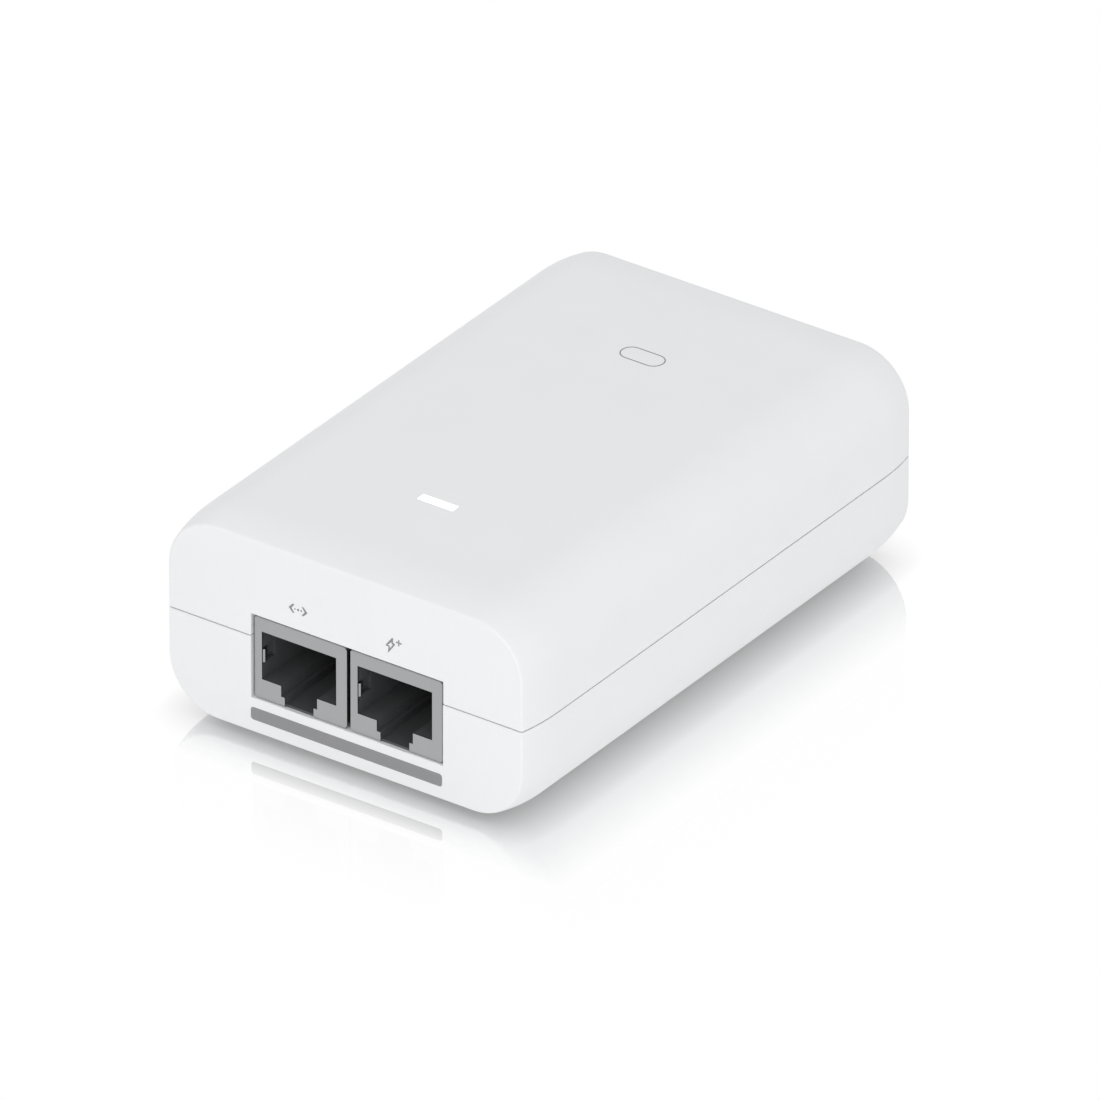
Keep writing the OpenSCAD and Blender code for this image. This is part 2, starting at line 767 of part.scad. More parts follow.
/* ---------- mains inlet ---------- */

module well_outline() {
    half_w = well_w / 2;
    half_h = well_h / 2;
    polygon([[-half_w, -half_h], [half_w, -half_h], [half_w, half_h - well_chamfer],
        [half_w - well_chamfer, half_h], [-half_w + well_chamfer, half_h], [-half_w, half_h - well_chamfer]]);
}

module inlet_body() {
    flange_y1 = inner_end_y - inlet_clear;
    color("#1d1d20") difference() {
        union() {
            inlet_prism(inlet_rear_y, inlet_front_y, 0);
            intersection() {
                inlet_prism(flange_y1 - inlet_flange_t, flange_y1, inlet_flange);
                block(0, end_y / 2, inlet_z0, [case_w, case_l, case_h]);
            }
        }
        translate([0, inlet_front_y + over, inlet_mid_z]) rotate([90, 0, 0])
            linear_extrude(well_depth + over) well_outline();
        for (p = [[-pin_pitch / 2, mains_pin_z], [pin_pitch / 2, mains_pin_z], [0, earth_z]])
            translate([p[0] - pin_t / 2, inlet_rear_y - over, p[1] - pin_h / 2])
                cube([pin_t, well_base + 2 * over, pin_h]);
    }
}

// Blade with a bevelled tip, carried by the base, with a tail down through the board
module inlet_pin(x, z, short) {
    tip_y = inlet_front_y - short;
    bevel = 0.6;
    color("silver") {
        along_x(x, pin_t) polygon([
            [inlet_tail_y - inlet_tail_t / 2, z - pin_h / 2], [tip_y - bevel, z - pin_h / 2],
            [tip_y, z - pin_h / 2 + bevel], [tip_y, z + pin_h / 2 - bevel],
            [tip_y - bevel, z + pin_h / 2], [inlet_tail_y - inlet_tail_t / 2, z + pin_h / 2]]);
        block(x, inlet_tail_y, board_z0 - lead_stub, [0.7 * pin_t, inlet_tail_t, z - board_z0 + lead_stub]);
    }
}

module line_pin() { inlet_pin(pin_pitch / 2, mains_pin_z, pin_short); }
module neutral_pin() { inlet_pin(-pin_pitch / 2, mains_pin_z, pin_short); }
module earth_pin() { inlet_pin(0, earth_z, pin_short / 2); }

/* ---------- board ---------- */

module main_board() {
    peg_hole_d = jack_peg_d + 2 * fit;
    color("darkgreen") difference() {
        block(0, 0, board_z0, [2 * board_half_w, board_l, board_t]);
        for (p = pillars) rod(p[0], p[1], board_z0 - over, board_z1 + over, screw_hole_d);
        for (p = board_leads) rod(p[0], p[1], board_z0 - over, board_z1 + over, lead_hole_d);
        for (p = inlet_tails)
            block(p[0], p[1], board_z0 - over, [pin_t, inlet_tail_t + 4 * fit, board_t + 2 * over]);
        for (p = jack_pegs) rod(p[0], p[1], board_z0 - over, board_z1 + over, peg_hole_d);
    }
}

module insulation_sheet() {
    color("wheat") difference() {
        block(0, 0, floor_z, [2 * (corner_x - sheet_inset), board_l - 2 * sheet_inset, sheet_t]);
        for (p = pillars) rod(p[0], p[1], floor_z - over, floor_z + sheet_t + over, boss_d + 2 * hole_clear);
    }
}

/* ---------- mains side ---------- */

module fuse() {
    color("saddlebrown") {
        rod(fuse_x, fuse_y, board_z1, board_z1 + fuse_h, fuse_d);
        leads(pair(fuse_x, fuse_y), board_z1 + lead_d);
    }
}

// Coated disc standing on edge, turned about its upright axis
module disc(x, y, d, t, turn) {
    edge = t / 4;
    translate([x, y, board_z1 + disc_lift + d / 2]) rotate([90, 0, turn]) rotate_extrude() polygon([
        [0, -t / 2], [d / 2 - edge, -t / 2], [d / 2, -t / 2 + edge],
        [d / 2, t / 2 - edge], [d / 2 - edge, t / 2], [0, t / 2]]);
}

module surge_varistor() {
    color("royalblue") {
        disc(varistor_x, varistor_y, varistor_d, varistor_t, 90);
        leads(pair_along(varistor_x, varistor_y), board_z1 + disc_lift + varistor_d / 3);
    }
}

module isolation_capacitor() {
    color("deepskyblue") {
        disc(data_jack_x, isolation_y, iso_cap_d, iso_cap_t, 0);
        leads(pair(data_jack_x, isolation_y), board_z1 + disc_lift + iso_cap_d / 3);
    }
}

module filter_capacitor() {
    color("gold") {
        block(box_cap_x, box_cap_y, board_z1, [box_cap_l, box_cap_t, box_cap_h]);
        leads(pair(box_cap_x, box_cap_y, box_cap_pitch), board_z1 + lead_d);
    }
}

// Part of a ring that stands on edge, between two radii and centred on the angle at
module choke_ring(r0, r1, width, turn, at) {
    translate([choke_x, choke_y, choke_mid_z]) rotate([90, 0, 0]) rotate(at - turn / 2)
        rotate_extrude(angle = turn) translate([r0, -width / 2]) square([r1 - r0, width]);
}

module mains_choke_core() {
    color("dimgray") choke_ring(choke_bore_d / 2, choke_d / 2, choke_h, 360, 0);
}

// Two windings that wrap the ring, each with its pair of pins
module mains_choke_windings() {
    r0 = choke_bore_d / 2;
    r1 = choke_d / 2;
    pin_top = choke_mid_z - sqrt(pow(r1 + wire_t / 2, 2) - pow(choke_pin_x, 2));
    color("chocolate") {
        difference() {
            for (side = [0, 180])
                choke_ring(r0 - wire_t, r1 + wire_t, choke_h + 2 * wire_t, choke_turn, side);
            choke_ring(r0, r1, choke_h, 360, 0);
        }
        leads(choke_pins, pin_top);
    }
}

module bridge_rectifier() {
    color("#1b1b1d") chip(box_cap_x, box_cap_y, [bridge_w, bridge_d, chip_h], 2, false);
}

// Can with a crimp groove near its foot and a cross scored in its top
module can_capacitor(x, y, d, h, pitch) {
    edge = 0.4;
    crimp_z = 2.5;
    crimp = 0.5;
    score_w = 0.5;
    score_t = 0.3;
    r = d / 2;
    translate([x, y, board_z1]) difference() {
        rotate_extrude() polygon([
            [0, 0], [r - edge, 0], [r, edge], [r, crimp_z - crimp], [r - edge, crimp_z],
            [r, crimp_z + crimp], [r, h - edge], [r - edge, h], [0, h]]);
        for (a = [0, 90])
            rotate(a) translate([-d / 3, -score_w / 2, h - score_t]) cube([2 * d / 3, score_w, over]);
    }
    leads(pair(x, y, pitch), board_z1 + lead_d);
}

module reservoir_capacitor_front() {
    color("darkslateblue") can_capacitor(bulk_x, bulk_front_y, bulk_d, bulk_h, lead_pitch);
}

module reservoir_capacitor_back() {
    color("darkslateblue") can_capacitor(bulk_x, bulk_back_y, bulk_d, bulk_h, lead_pitch);
}

/* ---------- switching stage ---------- */

// Flat-pack power device: body, screw hole and three leads
module power_package(y) {
    difference() {
        block(package_x, y, package_z0, [package_t, package_w, package_h]);
        translate([package_x - package_t, y, device_hole_z]) rotate([0, 90, 0])
            cylinder(d = screw_hole_d, h = 2 * package_t);
    }
    leads(package_places(y), package_z0 + lead_d);
}

// Back plate with fins towards the side wall and a hole for the device's screw
module heat_sink(y) {
    difference() {
        union() {
            block(sink_x, y, board_z1, [sink_t, sink_l, sink_h]);
            for (i = [0:fins - 1])
                block(sink_x + (sink_t + fin_l) / 2, y + (sink_l - fin_t) * (i / (fins - 1) - 0.5),
                    board_z1, [fin_l, fin_t, sink_h]);
        }
        translate([sink_x - sink_t, y, device_hole_z]) rotate([0, 90, 0])
            cylinder(d = pilot_d, h = 2 * sink_t + fin_l);
    }
}

module device_screw(y) {
    translate([package_x - package_t / 2, y, device_hole_z]) rotate([0, 90, 0])
        screw(package_t + sink_t);
}

module switching_transistor() { color("#1b1b1d") power_package(transistor_y); }
module transistor_heat_sink() { color("lightsteelblue") heat_sink(transistor_y); }
module transistor_screw() { color("silver") device_screw(transistor_y); }
module output_rectifier() { color("#1b1b1d") power_package(rectifier_y); }
module rectifier_heat_sink() { color("lightsteelblue") heat_sink(rectifier_y); }
module rectifier_screw() { color("silver") device_screw(rectifier_y); }

// Moulded chip with leads along its front and back; top is true above the board
module chip(x, y, size, count, top, turn = 0) {
    pitch = size[0] / count;
    translate([x, y, 0]) rotate(turn) {
        block(0, 0, top ? board_z1 : board_z0 - size[2], size);
        for (sy = [-1, 1], i = [0:count - 1])
            block((i - (count - 1) / 2) * pitch, sy * (size[1] + chip_lead) / 2,
                top ? board_z1 : board_z0 - chip_lead_t, [pitch / 2, chip_lead, chip_lead_t]);
    }
}

module switching_controller() {
    color("#1b1b1d") chip(transformer_x, transformer_y, [controller_w, controller_d, chip_h], 4, false);
}

module port_controller() {
    color("#1b1b1d") chip(jack_pair_x, magnetics_y, [port_chip_w, port_chip_w, chip_h], 6, false);
}

module optocoupler() {
    color("#1b1b1d") chip(power_jack_x, isolation_y, [opto_d, opto_w, opto_h], 2, true, 90);
}

module magnetics(x) {
    color("#1b1b1d") chip(x, magnetics_y, [magnetics_w, magnetics_d, magnetics_h], 8, true);
}

module data_magnetics() { magnetics(jack_pair_x - magnetics_pitch / 2); }
module power_magnetics() { magnetics(jack_pair_x + magnetics_pitch / 2); }

/* ---------- transformer ---------- */

module transformer_core() {
    color("#3a3a3d") difference() {
        block(transformer_x, transformer_y, core_z0, [core_w, core_t, core_h]);
        for (s = [-1, 1])
            block(transformer_x + s * (centre_leg + window_core_w) / 2, transformer_y, core_z0 + core_yoke,
                [window_core_w, core_t + 2 * over, core_h - 2 * core_yoke]);
    }
}

// Flanges above and below the winding, a sleeve round the centre leg and a pinned foot
module transformer_bobbin() {
    sleeve_w = centre_leg + 2 * fit;
    sleeve_t = core_t + 2 * fit;
    color("black") {
        difference() {
            union() {
                for (z = [bobbin_z0, bobbin_z1 - flange_t])
                    block(transformer_x, transformer_y, z, [winding_w, winding_d, flange_t]);
                block(transformer_x, transformer_y, bobbin_z0,
                    [sleeve_w + 2 * bobbin_wall, sleeve_t + 2 * bobbin_wall, bobbin_z1 - bobbin_z0]);
            }
            block(transformer_x, transformer_y, bobbin_z0 - over,
                [sleeve_w, sleeve_t, bobbin_z1 - bobbin_z0 + 2 * over]);
        }
        for (s = [-1, 1])
            block(transformer_x, transformer_y + s * (winding_d - base_d) / 2, board_z1,
                [winding_w, base_d, bobbin_z0 + flange_t / 2 - board_z1]);
        leads(transformer_pins, board_z1 + lead_d);
    }
}

module transformer_winding() {
    z0 = bobbin_z0 + flange_t;
    h = bobbin_z1 - flange_t - z0;
    w = winding_w - 2 * winding_inset;
    d = winding_d - 2 * winding_inset;
    inner_w = centre_leg + 2 * fit + 2 * bobbin_wall;
    inner_d = core_t + 2 * fit + 2 * bobbin_wall;
    color("yellow") translate([transformer_x, transformer_y, z0]) linear_extrude(h) difference() {
        rounded_rect(w, d, winding_r);
        square([inner_w, inner_d], center = true);
    }
}

/* ---------- output side ---------- */

module output_capacitor_front() {
    color("teal") can_capacitor(out_cap_x, out_cap_front_y, out_cap_d, out_cap_h, small_pitch);
}

module output_capacitor_back() {
    color("teal") can_capacitor(out_cap_x, out_cap_back_y, out_cap_d, out_cap_h, small_pitch);
}

// Drum core with its winding sunk between two cheeks
module output_choke() {
    cheek = 2;
    waist = 0.7;
    color("dimgray") {
        translate([choke_out_x, choke_out_y, board_z1]) rotate_extrude() polygon([
            [0, 0], [choke_out_d / 2, 0], [choke_out_d / 2, cheek], [choke_out_d / 2 - waist, cheek],
            [choke_out_d / 2 - waist, choke_out_h - cheek], [choke_out_d / 2, choke_out_h - cheek],
            [choke_out_d / 2, choke_out_h], [0, choke_out_h]]);
        leads(pair(choke_out_x, choke_out_y, small_pitch), board_z1 + lead_d);
    }
}

top_shell();
bottom_shell();
rubber_feet();
case_screws();
light_guide();
status_led();
data_jack_shield();
data_jack_insert();
data_jack_contacts();
power_jack_shield();
power_jack_insert();
power_jack_contacts();
inlet_body();
line_pin();
neutral_pin();
earth_pin();
main_board();
insulation_sheet();
fuse();
surge_varistor();
filter_capacitor();
mains_choke_core();
mains_choke_windings();
bridge_rectifier();
reservoir_capacitor_front();
reservoir_capacitor_back();
switching_transistor();
transistor_heat_sink();
transistor_screw();
switching_controller();
transformer_core();
transformer_bobbin();
transformer_winding();
isolation_capacitor();
optocoupler();
output_rectifier();
rectifier_heat_sink();
rectifier_screw();
output_capacitor_front();
output_capacitor_back();
output_choke();
port_controller();
data_magnetics();
power_magnetics();
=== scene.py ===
import json
import logging
import math
from dataclasses import dataclass, field
from enum import Enum
from typing import Iterable, Sequence, Union

import bmesh
import bpy
from mathutils import Matrix, Vector


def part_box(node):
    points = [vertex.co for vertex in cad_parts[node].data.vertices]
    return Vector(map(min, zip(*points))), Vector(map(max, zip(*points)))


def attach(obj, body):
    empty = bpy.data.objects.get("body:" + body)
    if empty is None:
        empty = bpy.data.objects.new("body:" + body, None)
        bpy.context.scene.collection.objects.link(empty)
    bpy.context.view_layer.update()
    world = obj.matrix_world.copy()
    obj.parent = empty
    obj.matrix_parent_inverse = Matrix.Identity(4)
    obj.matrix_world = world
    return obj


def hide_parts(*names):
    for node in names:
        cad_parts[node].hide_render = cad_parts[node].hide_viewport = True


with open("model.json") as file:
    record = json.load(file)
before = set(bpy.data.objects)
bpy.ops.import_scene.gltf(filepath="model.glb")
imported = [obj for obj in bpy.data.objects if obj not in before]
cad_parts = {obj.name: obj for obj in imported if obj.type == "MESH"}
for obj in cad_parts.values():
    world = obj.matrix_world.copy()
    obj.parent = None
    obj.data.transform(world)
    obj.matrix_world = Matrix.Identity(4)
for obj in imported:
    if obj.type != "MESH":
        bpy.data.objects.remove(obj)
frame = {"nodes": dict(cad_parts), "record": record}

MM = 0.001
ROOT = "root"
LOG = logging.getLogger("injector")

Point = tuple[float, float]
Place = tuple[float, float, float]
Colour = tuple[float, float, float]
Piece = bpy.types.Object

WHITE: Colour = (1.0, 1.0, 1.0)
BLACK: Colour = (0.0, 0.0, 0.0)
WAVE_RATE = 20.0  # radians by which a wave turns in one unit at scale 1


# ------------ shader maths


class Field:
    """A shader socket that takes part in Python arithmetic."""

    def __init__(self, graph: "Graph", socket: bpy.types.NodeSocket) -> None:
        """Keeps the socket and the graph that new Math nodes are added to.

        Args:
            graph: The graph that owns the socket.
            socket: The output socket to wrap.
        """
        self.graph = graph
        self.socket = socket

    def __add__(self, other: "Operand") -> "Field":
        """Sum with a number or another field."""
        return self.graph.math("ADD", self, other)

    def __radd__(self, other: "Operand") -> "Field":
        """Sum with a number on the left."""
        return self.graph.math("ADD", other, self)

    def __sub__(self, other: "Operand") -> "Field":
        """Difference from a number or another field."""
        return self.graph.math("SUBTRACT", self, other)

    def __rsub__(self, other: "Operand") -> "Field":
        """Difference with a number on the left."""
        return self.graph.math("SUBTRACT", other, self)

    def __mul__(self, other: "Operand") -> "Field":
        """Product with a number or another field."""
        return self.graph.math("MULTIPLY", self, other)

    def __rmul__(self, other: "Operand") -> "Field":
        """Product with a number on the left."""
        return self.graph.math("MULTIPLY", other, self)

    def __pow__(self, other: "Operand") -> "Field":
        """Power of a number or another field."""
        return self.graph.math("POWER", self, other)

    def __gt__(self, other: "Operand") -> "Field":
        """1 where this is the greater, else 0."""
        return self.graph.math("GREATER_THAN", self, other)

    def maximum(self, other: "Operand") -> "Field":
        """The greater of two values."""
        return self.graph.math("MAXIMUM", self, other)

    def minimum(self, other: "Operand") -> "Field":
        """The lesser of two values."""
        return self.graph.math("MINIMUM", self, other)

    def shared(self, other: "Field", share: float) -> "Field":
        """A sum in which this counts for a share and the other for the rest."""
        return self * share + other * (1.0 - share)


Operand = Union[Field, int, float]


def opaque(colour: Colour) -> tuple[float, float, float, float]:
    """The colour with full alpha, as a colour socket takes it."""
    return (*colour, 1.0)


class Graph:
    """The node tree of one material or world, with short ways to add to it."""

    def __init__(self, tree: bpy.types.NodeTree) -> None:
        """Empties the tree.

        Args:
            tree: The node tree to fill.
        """
        self.tree = tree
        tree.nodes.clear()

    def node(self, kind: str, settings: dict[str, object] | None = None,
             sockets: dict[Union[str, int], object] | None = None) -> bpy.types.Node:
        """Adds one node.

        Args:
            kind: The node's type, without the prefix that all shader nodes have.
            settings: Its properties, set first.
            sockets: Values, fields or output sockets for its inputs, by name or number.

        Returns:
            The new node.
        """
        made = self.tree.nodes.new("ShaderNode" + kind)
        for name, value in (settings or {}).items():
            setattr(made, name, value)
        for name, value in (sockets or {}).items():
            if isinstance(value, Field):
                value = value.socket
            if isinstance(value, bpy.types.NodeSocket):
                self.tree.links.new(value, made.inputs[name])
            else:
                made.inputs[name].default_value = value
        return made

    def math(self, operation: str, a: Operand, b: Operand) -> Field:
        """A Math node on two values.

        Args:
            operation: The node's operation.
            a: First value.
            b: Second value.

        Returns:
            The result.
        """
        made = self.node("Math", {"operation": operation}, {0: a, 1: b})
        return Field(self, made.outputs[0])

    def mix(self, factor: Operand, a: Union[Colour, Field], b: Union[Colour, Field]) -> Field:
        """A blend of two colours.

        Args:
            factor: 0 gives a and 1 gives b.
            a: First colour.
            b: Second colour.

        Returns:
            The blended colour.
        """
        value_in, first_in, second_in, colour_out = 0, 6, 7, 2
        first, second = (end if isinstance(end, Field) else opaque(end) for end in (a, b))
        made = self.node("Mix", {"data_type": "RGBA"},
                         {value_in: factor, first_in: first, second_in: second})
        return Field(self, made.outputs[colour_out])

    def mix_shaders(self, factor: Operand, a: bpy.types.Node, b: bpy.types.Node) -> bpy.types.Node:
        """A blend of two shaders.

        Args:
            factor: 0 gives a and 1 gives b.
            a: First shader.
            b: Second shader.

        Returns:
            The Mix Shader node.
        """
        return self.node("MixShader", None, {0: factor, 1: a.outputs[0], 2: b.outputs[0]})

    def plain(self, kind: str, colour: Colour, strength: float) -> bpy.types.Node:
        """A shader that sends out one even colour.

        Args:
            kind: "Emission" for a surface, "Background" for a world.
            colour: Its colour.
            strength: Its strength, where 1 is the colour itself.

        Returns:
            The node.
        """
        return self.node(kind, None, {"Color": opaque(colour), "Strength": strength})

    def ray(self, *names: str) -> Field:
        """Whether a ray is of one of the named kinds.

        Args:
            names: Outputs of the Light Path node.

        Returns:
            1 for those rays, else 0.
        """
        path = self.node("LightPath")
        first, *others = (Field(self, path.outputs[name]) for name in names)
        for other in others:
            first = first.maximum(other)
        return first

    def place(self, stretch: Place = (1.0, 1.0, 1.0)) -> Field:
        """Object coordinates, stretched along the axes.

        Args:
            stretch: Factor on each axis.

        Returns:
            The coordinates.
        """
        coord = self.node("TexCoord")
        made = self.node("VectorMath", {"operation": "MULTIPLY"},
                         {0: coord.outputs["Object"], 1: stretch})
        return Field(self, made.outputs[0])

    def parts(self, vector: Field) -> tuple[Field, Field, Field]:
        """The three parts of a vector.

        Args:
            vector: The vector to take apart.

        Returns:
            Its x, y and z.
        """
        made = self.node("SeparateXYZ", None, {0: vector})
        x, y, z = (Field(self, output) for output in made.outputs)
        return x, y, z

    def noise(self, at: Field, grain: float, detail: float = 2.0) -> Field:
        """Soft noise from 0 to 1.

        Args:
            at: Coordinates in metres.
            grain: Size of one blotch in millimetres.
            detail: Number of finer octaves.

        Returns:
            The noise.
        """
        made = self.node("TexNoise", None,
                         {"Vector": at, "Scale": 1.0 / (grain * MM), "Detail": detail})
        return Field(self, made.outputs[0])

    def bands(self, at: Field, width: float, axis: str) -> Field:
        """Sine bands from 0 to 1 across an axis.

        Args:
            at: Coordinates in metres.
            width: Width of one band in millimetres.
            axis: "X", "Y" or "Z".

        Returns:
            The bands.
        """
        made = self.node("TexWave", {"bands_direction": axis},
                         {"Vector": at, "Scale": 2 * math.pi / (WAVE_RATE * width * MM)})
        return Field(self, made.outputs["Fac"])


# ------------ finishes


class Relief(Enum):
    """What the small relief of a surface looks like."""

    MOULDED = "moulded"
    BRUSHED = "brushed"
    WOUND = "wound"
    WOVEN = "woven"
    CAST = "cast"


# Soft patches: their size in grains, their finer octaves and their share in the colour
PATCH_GRAINS = 40.0
PATCH_DETAIL = 3.0
PATCH_SHARE = 0.7
# Brush strokes: how they are drawn out, and their finer octaves
BRUSH_STRETCH: Place = (0.04, 0.04, 1.0)
BRUSH_DETAIL = 4.0
# Share of the wires, the threads and the coarser grain in a relief; noise has the rest
WIRE_SHARE = 0.8
WEAVE_SHARE = 0.6
COARSE_SHARE = 0.6
# Finer octaves of a cast skin, and how many times finer a moulded skin's second grain is
CAST_DETAIL = 8.0
FINE_PARTS = 3.0


@dataclass(frozen=True)
class Finish:
    """One procedural finish.

    Attributes:
        base: Main colour.
        drift: Colour that broad, soft patches drift to.
        rough: Mean roughness.
        spread: How far the roughness wanders.
        grain: Size of the fine relief in millimetres.
        depth: Depth of the fine relief in millimetres.
        relief: Kind of relief.
        metal: Metallic value.
        coat: Weight of a clear coat.
        glow: Strength of its own light.
        glow_from: Height in millimetres above which it gives light.
        shine: Level of the mirror part of a non-metal.
    """

    base: Colour
    drift: Colour
    rough: float
    spread: float = 0.1
    grain: float = 0.35
    depth: float = 0.004
    relief: Relief = Relief.MOULDED
    metal: float = 0.0
    coat: float = 0.0
    glow: float = 0.0
    glow_from: float = 0.0
    shine: float = 0.5

    def material(self, name: str) -> bpy.types.Material:
        """Builds the finish as a material.

        Args:
            name: The material's name.

        Returns:
            The new material.
        """
        made = bpy.data.materials.new(name)
        made.use_nodes = True
        graph = Graph(made.node_tree)
        height = self._height(graph)
        patches = graph.noise(graph.place(), self.grain * PATCH_GRAINS, PATCH_DETAIL)
        colour = graph.mix(patches.shared(height, PATCH_SHARE), self.base, self.drift)
        rough = self.rough + (height - 0.5) * self.spread + (patches - 0.5) * self.spread
        bump = graph.node("Bump", None,
                          {"Strength": 1.0, "Distance": self.depth * MM, "Height": height})
        sockets = {"Base Color": colour, "Roughness": rough, "Metallic": self.metal,
                   "Coat Weight": self.coat, "Specular IOR Level": self.shine,
                   "Normal": bump.outputs[0]}
        if self.glow:
            _, _, z = graph.parts(graph.place())
            lit = graph.mix(z > self.glow_from * MM, BLACK, colour)
            sockets |= {"Emission Color": lit, "Emission Strength": self.glow}
        shader = graph.node("BsdfPrincipled", None, sockets)
        graph.node("OutputMaterial", None, {"Surface": shader.outputs[0]})
        return made

    def _height(self, graph: Graph) -> Field:
        """Height of the fine relief, from 0 to 1.

        Args:
            graph: The material's graph.

        Returns:
            The height.
        """
        if self.relief is Relief.BRUSHED:
            return graph.noise(graph.place(BRUSH_STRETCH), self.grain, BRUSH_DETAIL)
        at = graph.place()
        if self.relief is Relief.WOUND:
            return graph.bands(at, self.grain, "Z").shared(graph.noise(at, self.grain), WIRE_SHARE)
        if self.relief is Relief.WOVEN:
            cross = graph.bands(at, self.grain, "X").maximum(graph.bands(at, self.grain, "Y"))
            return cross.shared(graph.noise(at, self.grain), WEAVE_SHARE)
        if self.relief is Relief.CAST:
            return graph.noise(at, self.grain, CAST_DETAIL)
        fine = graph.noise(at, self.grain / FINE_PARTS)
        return graph.noise(at, self.grain).shared(fine, COARSE_SHARE)


FINISHES: dict[str, Finish] = {
    "case_plastic": Finish((0.822, 0.832, 0.84), (0.792, 0.802, 0.812), rough=0.46, spread=0.05, grain=0.22,
        depth=0.0025),
    "foot_rubber": Finish((0.16, 0.16, 0.165), (0.12, 0.12, 0.125), rough=0.75, grain=0.3, depth=0.01),
    "zinc_steel": Finish((0.62, 0.62, 0.6), (0.52, 0.53, 0.55), rough=0.34, grain=0.2, depth=0.003,
        relief=Relief.BRUSHED, metal=1.0),
    "light_plastic": Finish((0.95, 0.97, 1.0), (0.9, 0.94, 1.0), rough=0.3, spread=0.05, grain=0.4,
        depth=0.002, glow=1.8, glow_from=32.5),
    "led_body": Finish((0.9, 0.86, 0.6), (0.95, 0.93, 0.8), rough=0.3, spread=0.05, grain=0.3, depth=0.002,
        coat=0.4),
    "shield_metal": Finish((0.413, 0.417, 0.422), (0.387, 0.392, 0.4), rough=0.36, spread=0.08, grain=0.12,
        depth=0.002, relief=Relief.BRUSHED, metal=1.0),
    "jack_plastic": Finish((0.066, 0.069, 0.073), (0.076, 0.079, 0.084), rough=0.5, grain=0.25),
    "contact_metal": Finish((0.78, 0.56, 0.26), (0.7, 0.48, 0.2), rough=0.28, spread=0.08, grain=0.1,
        depth=0.002, relief=Relief.BRUSHED, metal=1.0),
    "inlet_plastic": Finish((0.028, 0.028, 0.031), (0.038, 0.038, 0.042), rough=0.45, grain=0.3,
        depth=0.006),
    "pin_metal": Finish((0.66, 0.65, 0.62), (0.56, 0.56, 0.56), rough=0.25, spread=0.08, grain=0.15,
        depth=0.002, relief=Relief.BRUSHED, metal=1.0),
    "board_laminate": Finish((0.015, 0.12, 0.05), (0.02, 0.17, 0.07), rough=0.35, grain=0.5, depth=0.008,
        relief=Relief.WOVEN, coat=0.5),
    "sheet_plastic": Finish((0.78, 0.7, 0.5), (0.7, 0.62, 0.42), rough=0.5, grain=0.6, depth=0.01,
        relief=Relief.CAST),
    "fuse_plastic": Finish((0.12, 0.05, 0.03), (0.16, 0.07, 0.04), rough=0.4, grain=0.3, depth=0.006),
    "varistor_coat": Finish((0.03, 0.1, 0.42), (0.04, 0.14, 0.5), rough=0.4, spread=0.15, grain=0.5,
        depth=0.03, relief=Relief.CAST, coat=0.3),
    "box_capacitor_plastic": Finish((0.72, 0.5, 0.06), (0.78, 0.56, 0.1), rough=0.4, grain=0.3,
        depth=0.006),
    "ferrite": Finish((0.05, 0.05, 0.052), (0.08, 0.08, 0.082), rough=0.65, spread=0.15, grain=0.4,
        depth=0.02, relief=Relief.CAST),
    "copper_wire": Finish((0.62, 0.2, 0.06), (0.5, 0.14, 0.04), rough=0.3, depth=0.12, relief=Relief.WOUND,
        metal=0.8, coat=0.6),
    "chip_plastic": Finish((0.03, 0.03, 0.032), (0.045, 0.045, 0.048), rough=0.5, grain=0.2, depth=0.006),
    "capacitor_sleeve": Finish((0.04, 0.03, 0.12), (0.06, 0.05, 0.16), rough=0.32, spread=0.08, grain=0.8,
        depth=0.006, coat=0.3),
    "sink_aluminium": Finish((0.7, 0.71, 0.72), (0.6, 0.61, 0.63), rough=0.38, spread=0.12, grain=0.2,
        depth=0.005, relief=Relief.BRUSHED, metal=1.0),
    "bobbin_plastic": Finish((0.035, 0.035, 0.038), (0.05, 0.05, 0.054), rough=0.5, grain=0.3, depth=0.006),
    "winding_tape": Finish((0.75, 0.6, 0.1), (0.8, 0.66, 0.16), rough=0.35, grain=1.5, depth=0.03,
        relief=Relief.WOUND, coat=0.3),
    "disc_capacitor_coat": Finish((0.04, 0.2, 0.5), (0.06, 0.26, 0.58), rough=0.4, spread=0.15, grain=0.5,
        depth=0.03, relief=Relief.CAST, coat=0.3),
    "output_sleeve": Finish((0.02, 0.16, 0.16), (0.03, 0.2, 0.2), rough=0.32, spread=0.08, grain=0.8,
        depth=0.006, coat=0.3),
    "print_grey": Finish((0.28, 0.281, 0.289), (0.271, 0.272, 0.28), rough=0.8, spread=0.05, grain=0.2,
        depth=0.001, shine=0.1),
}


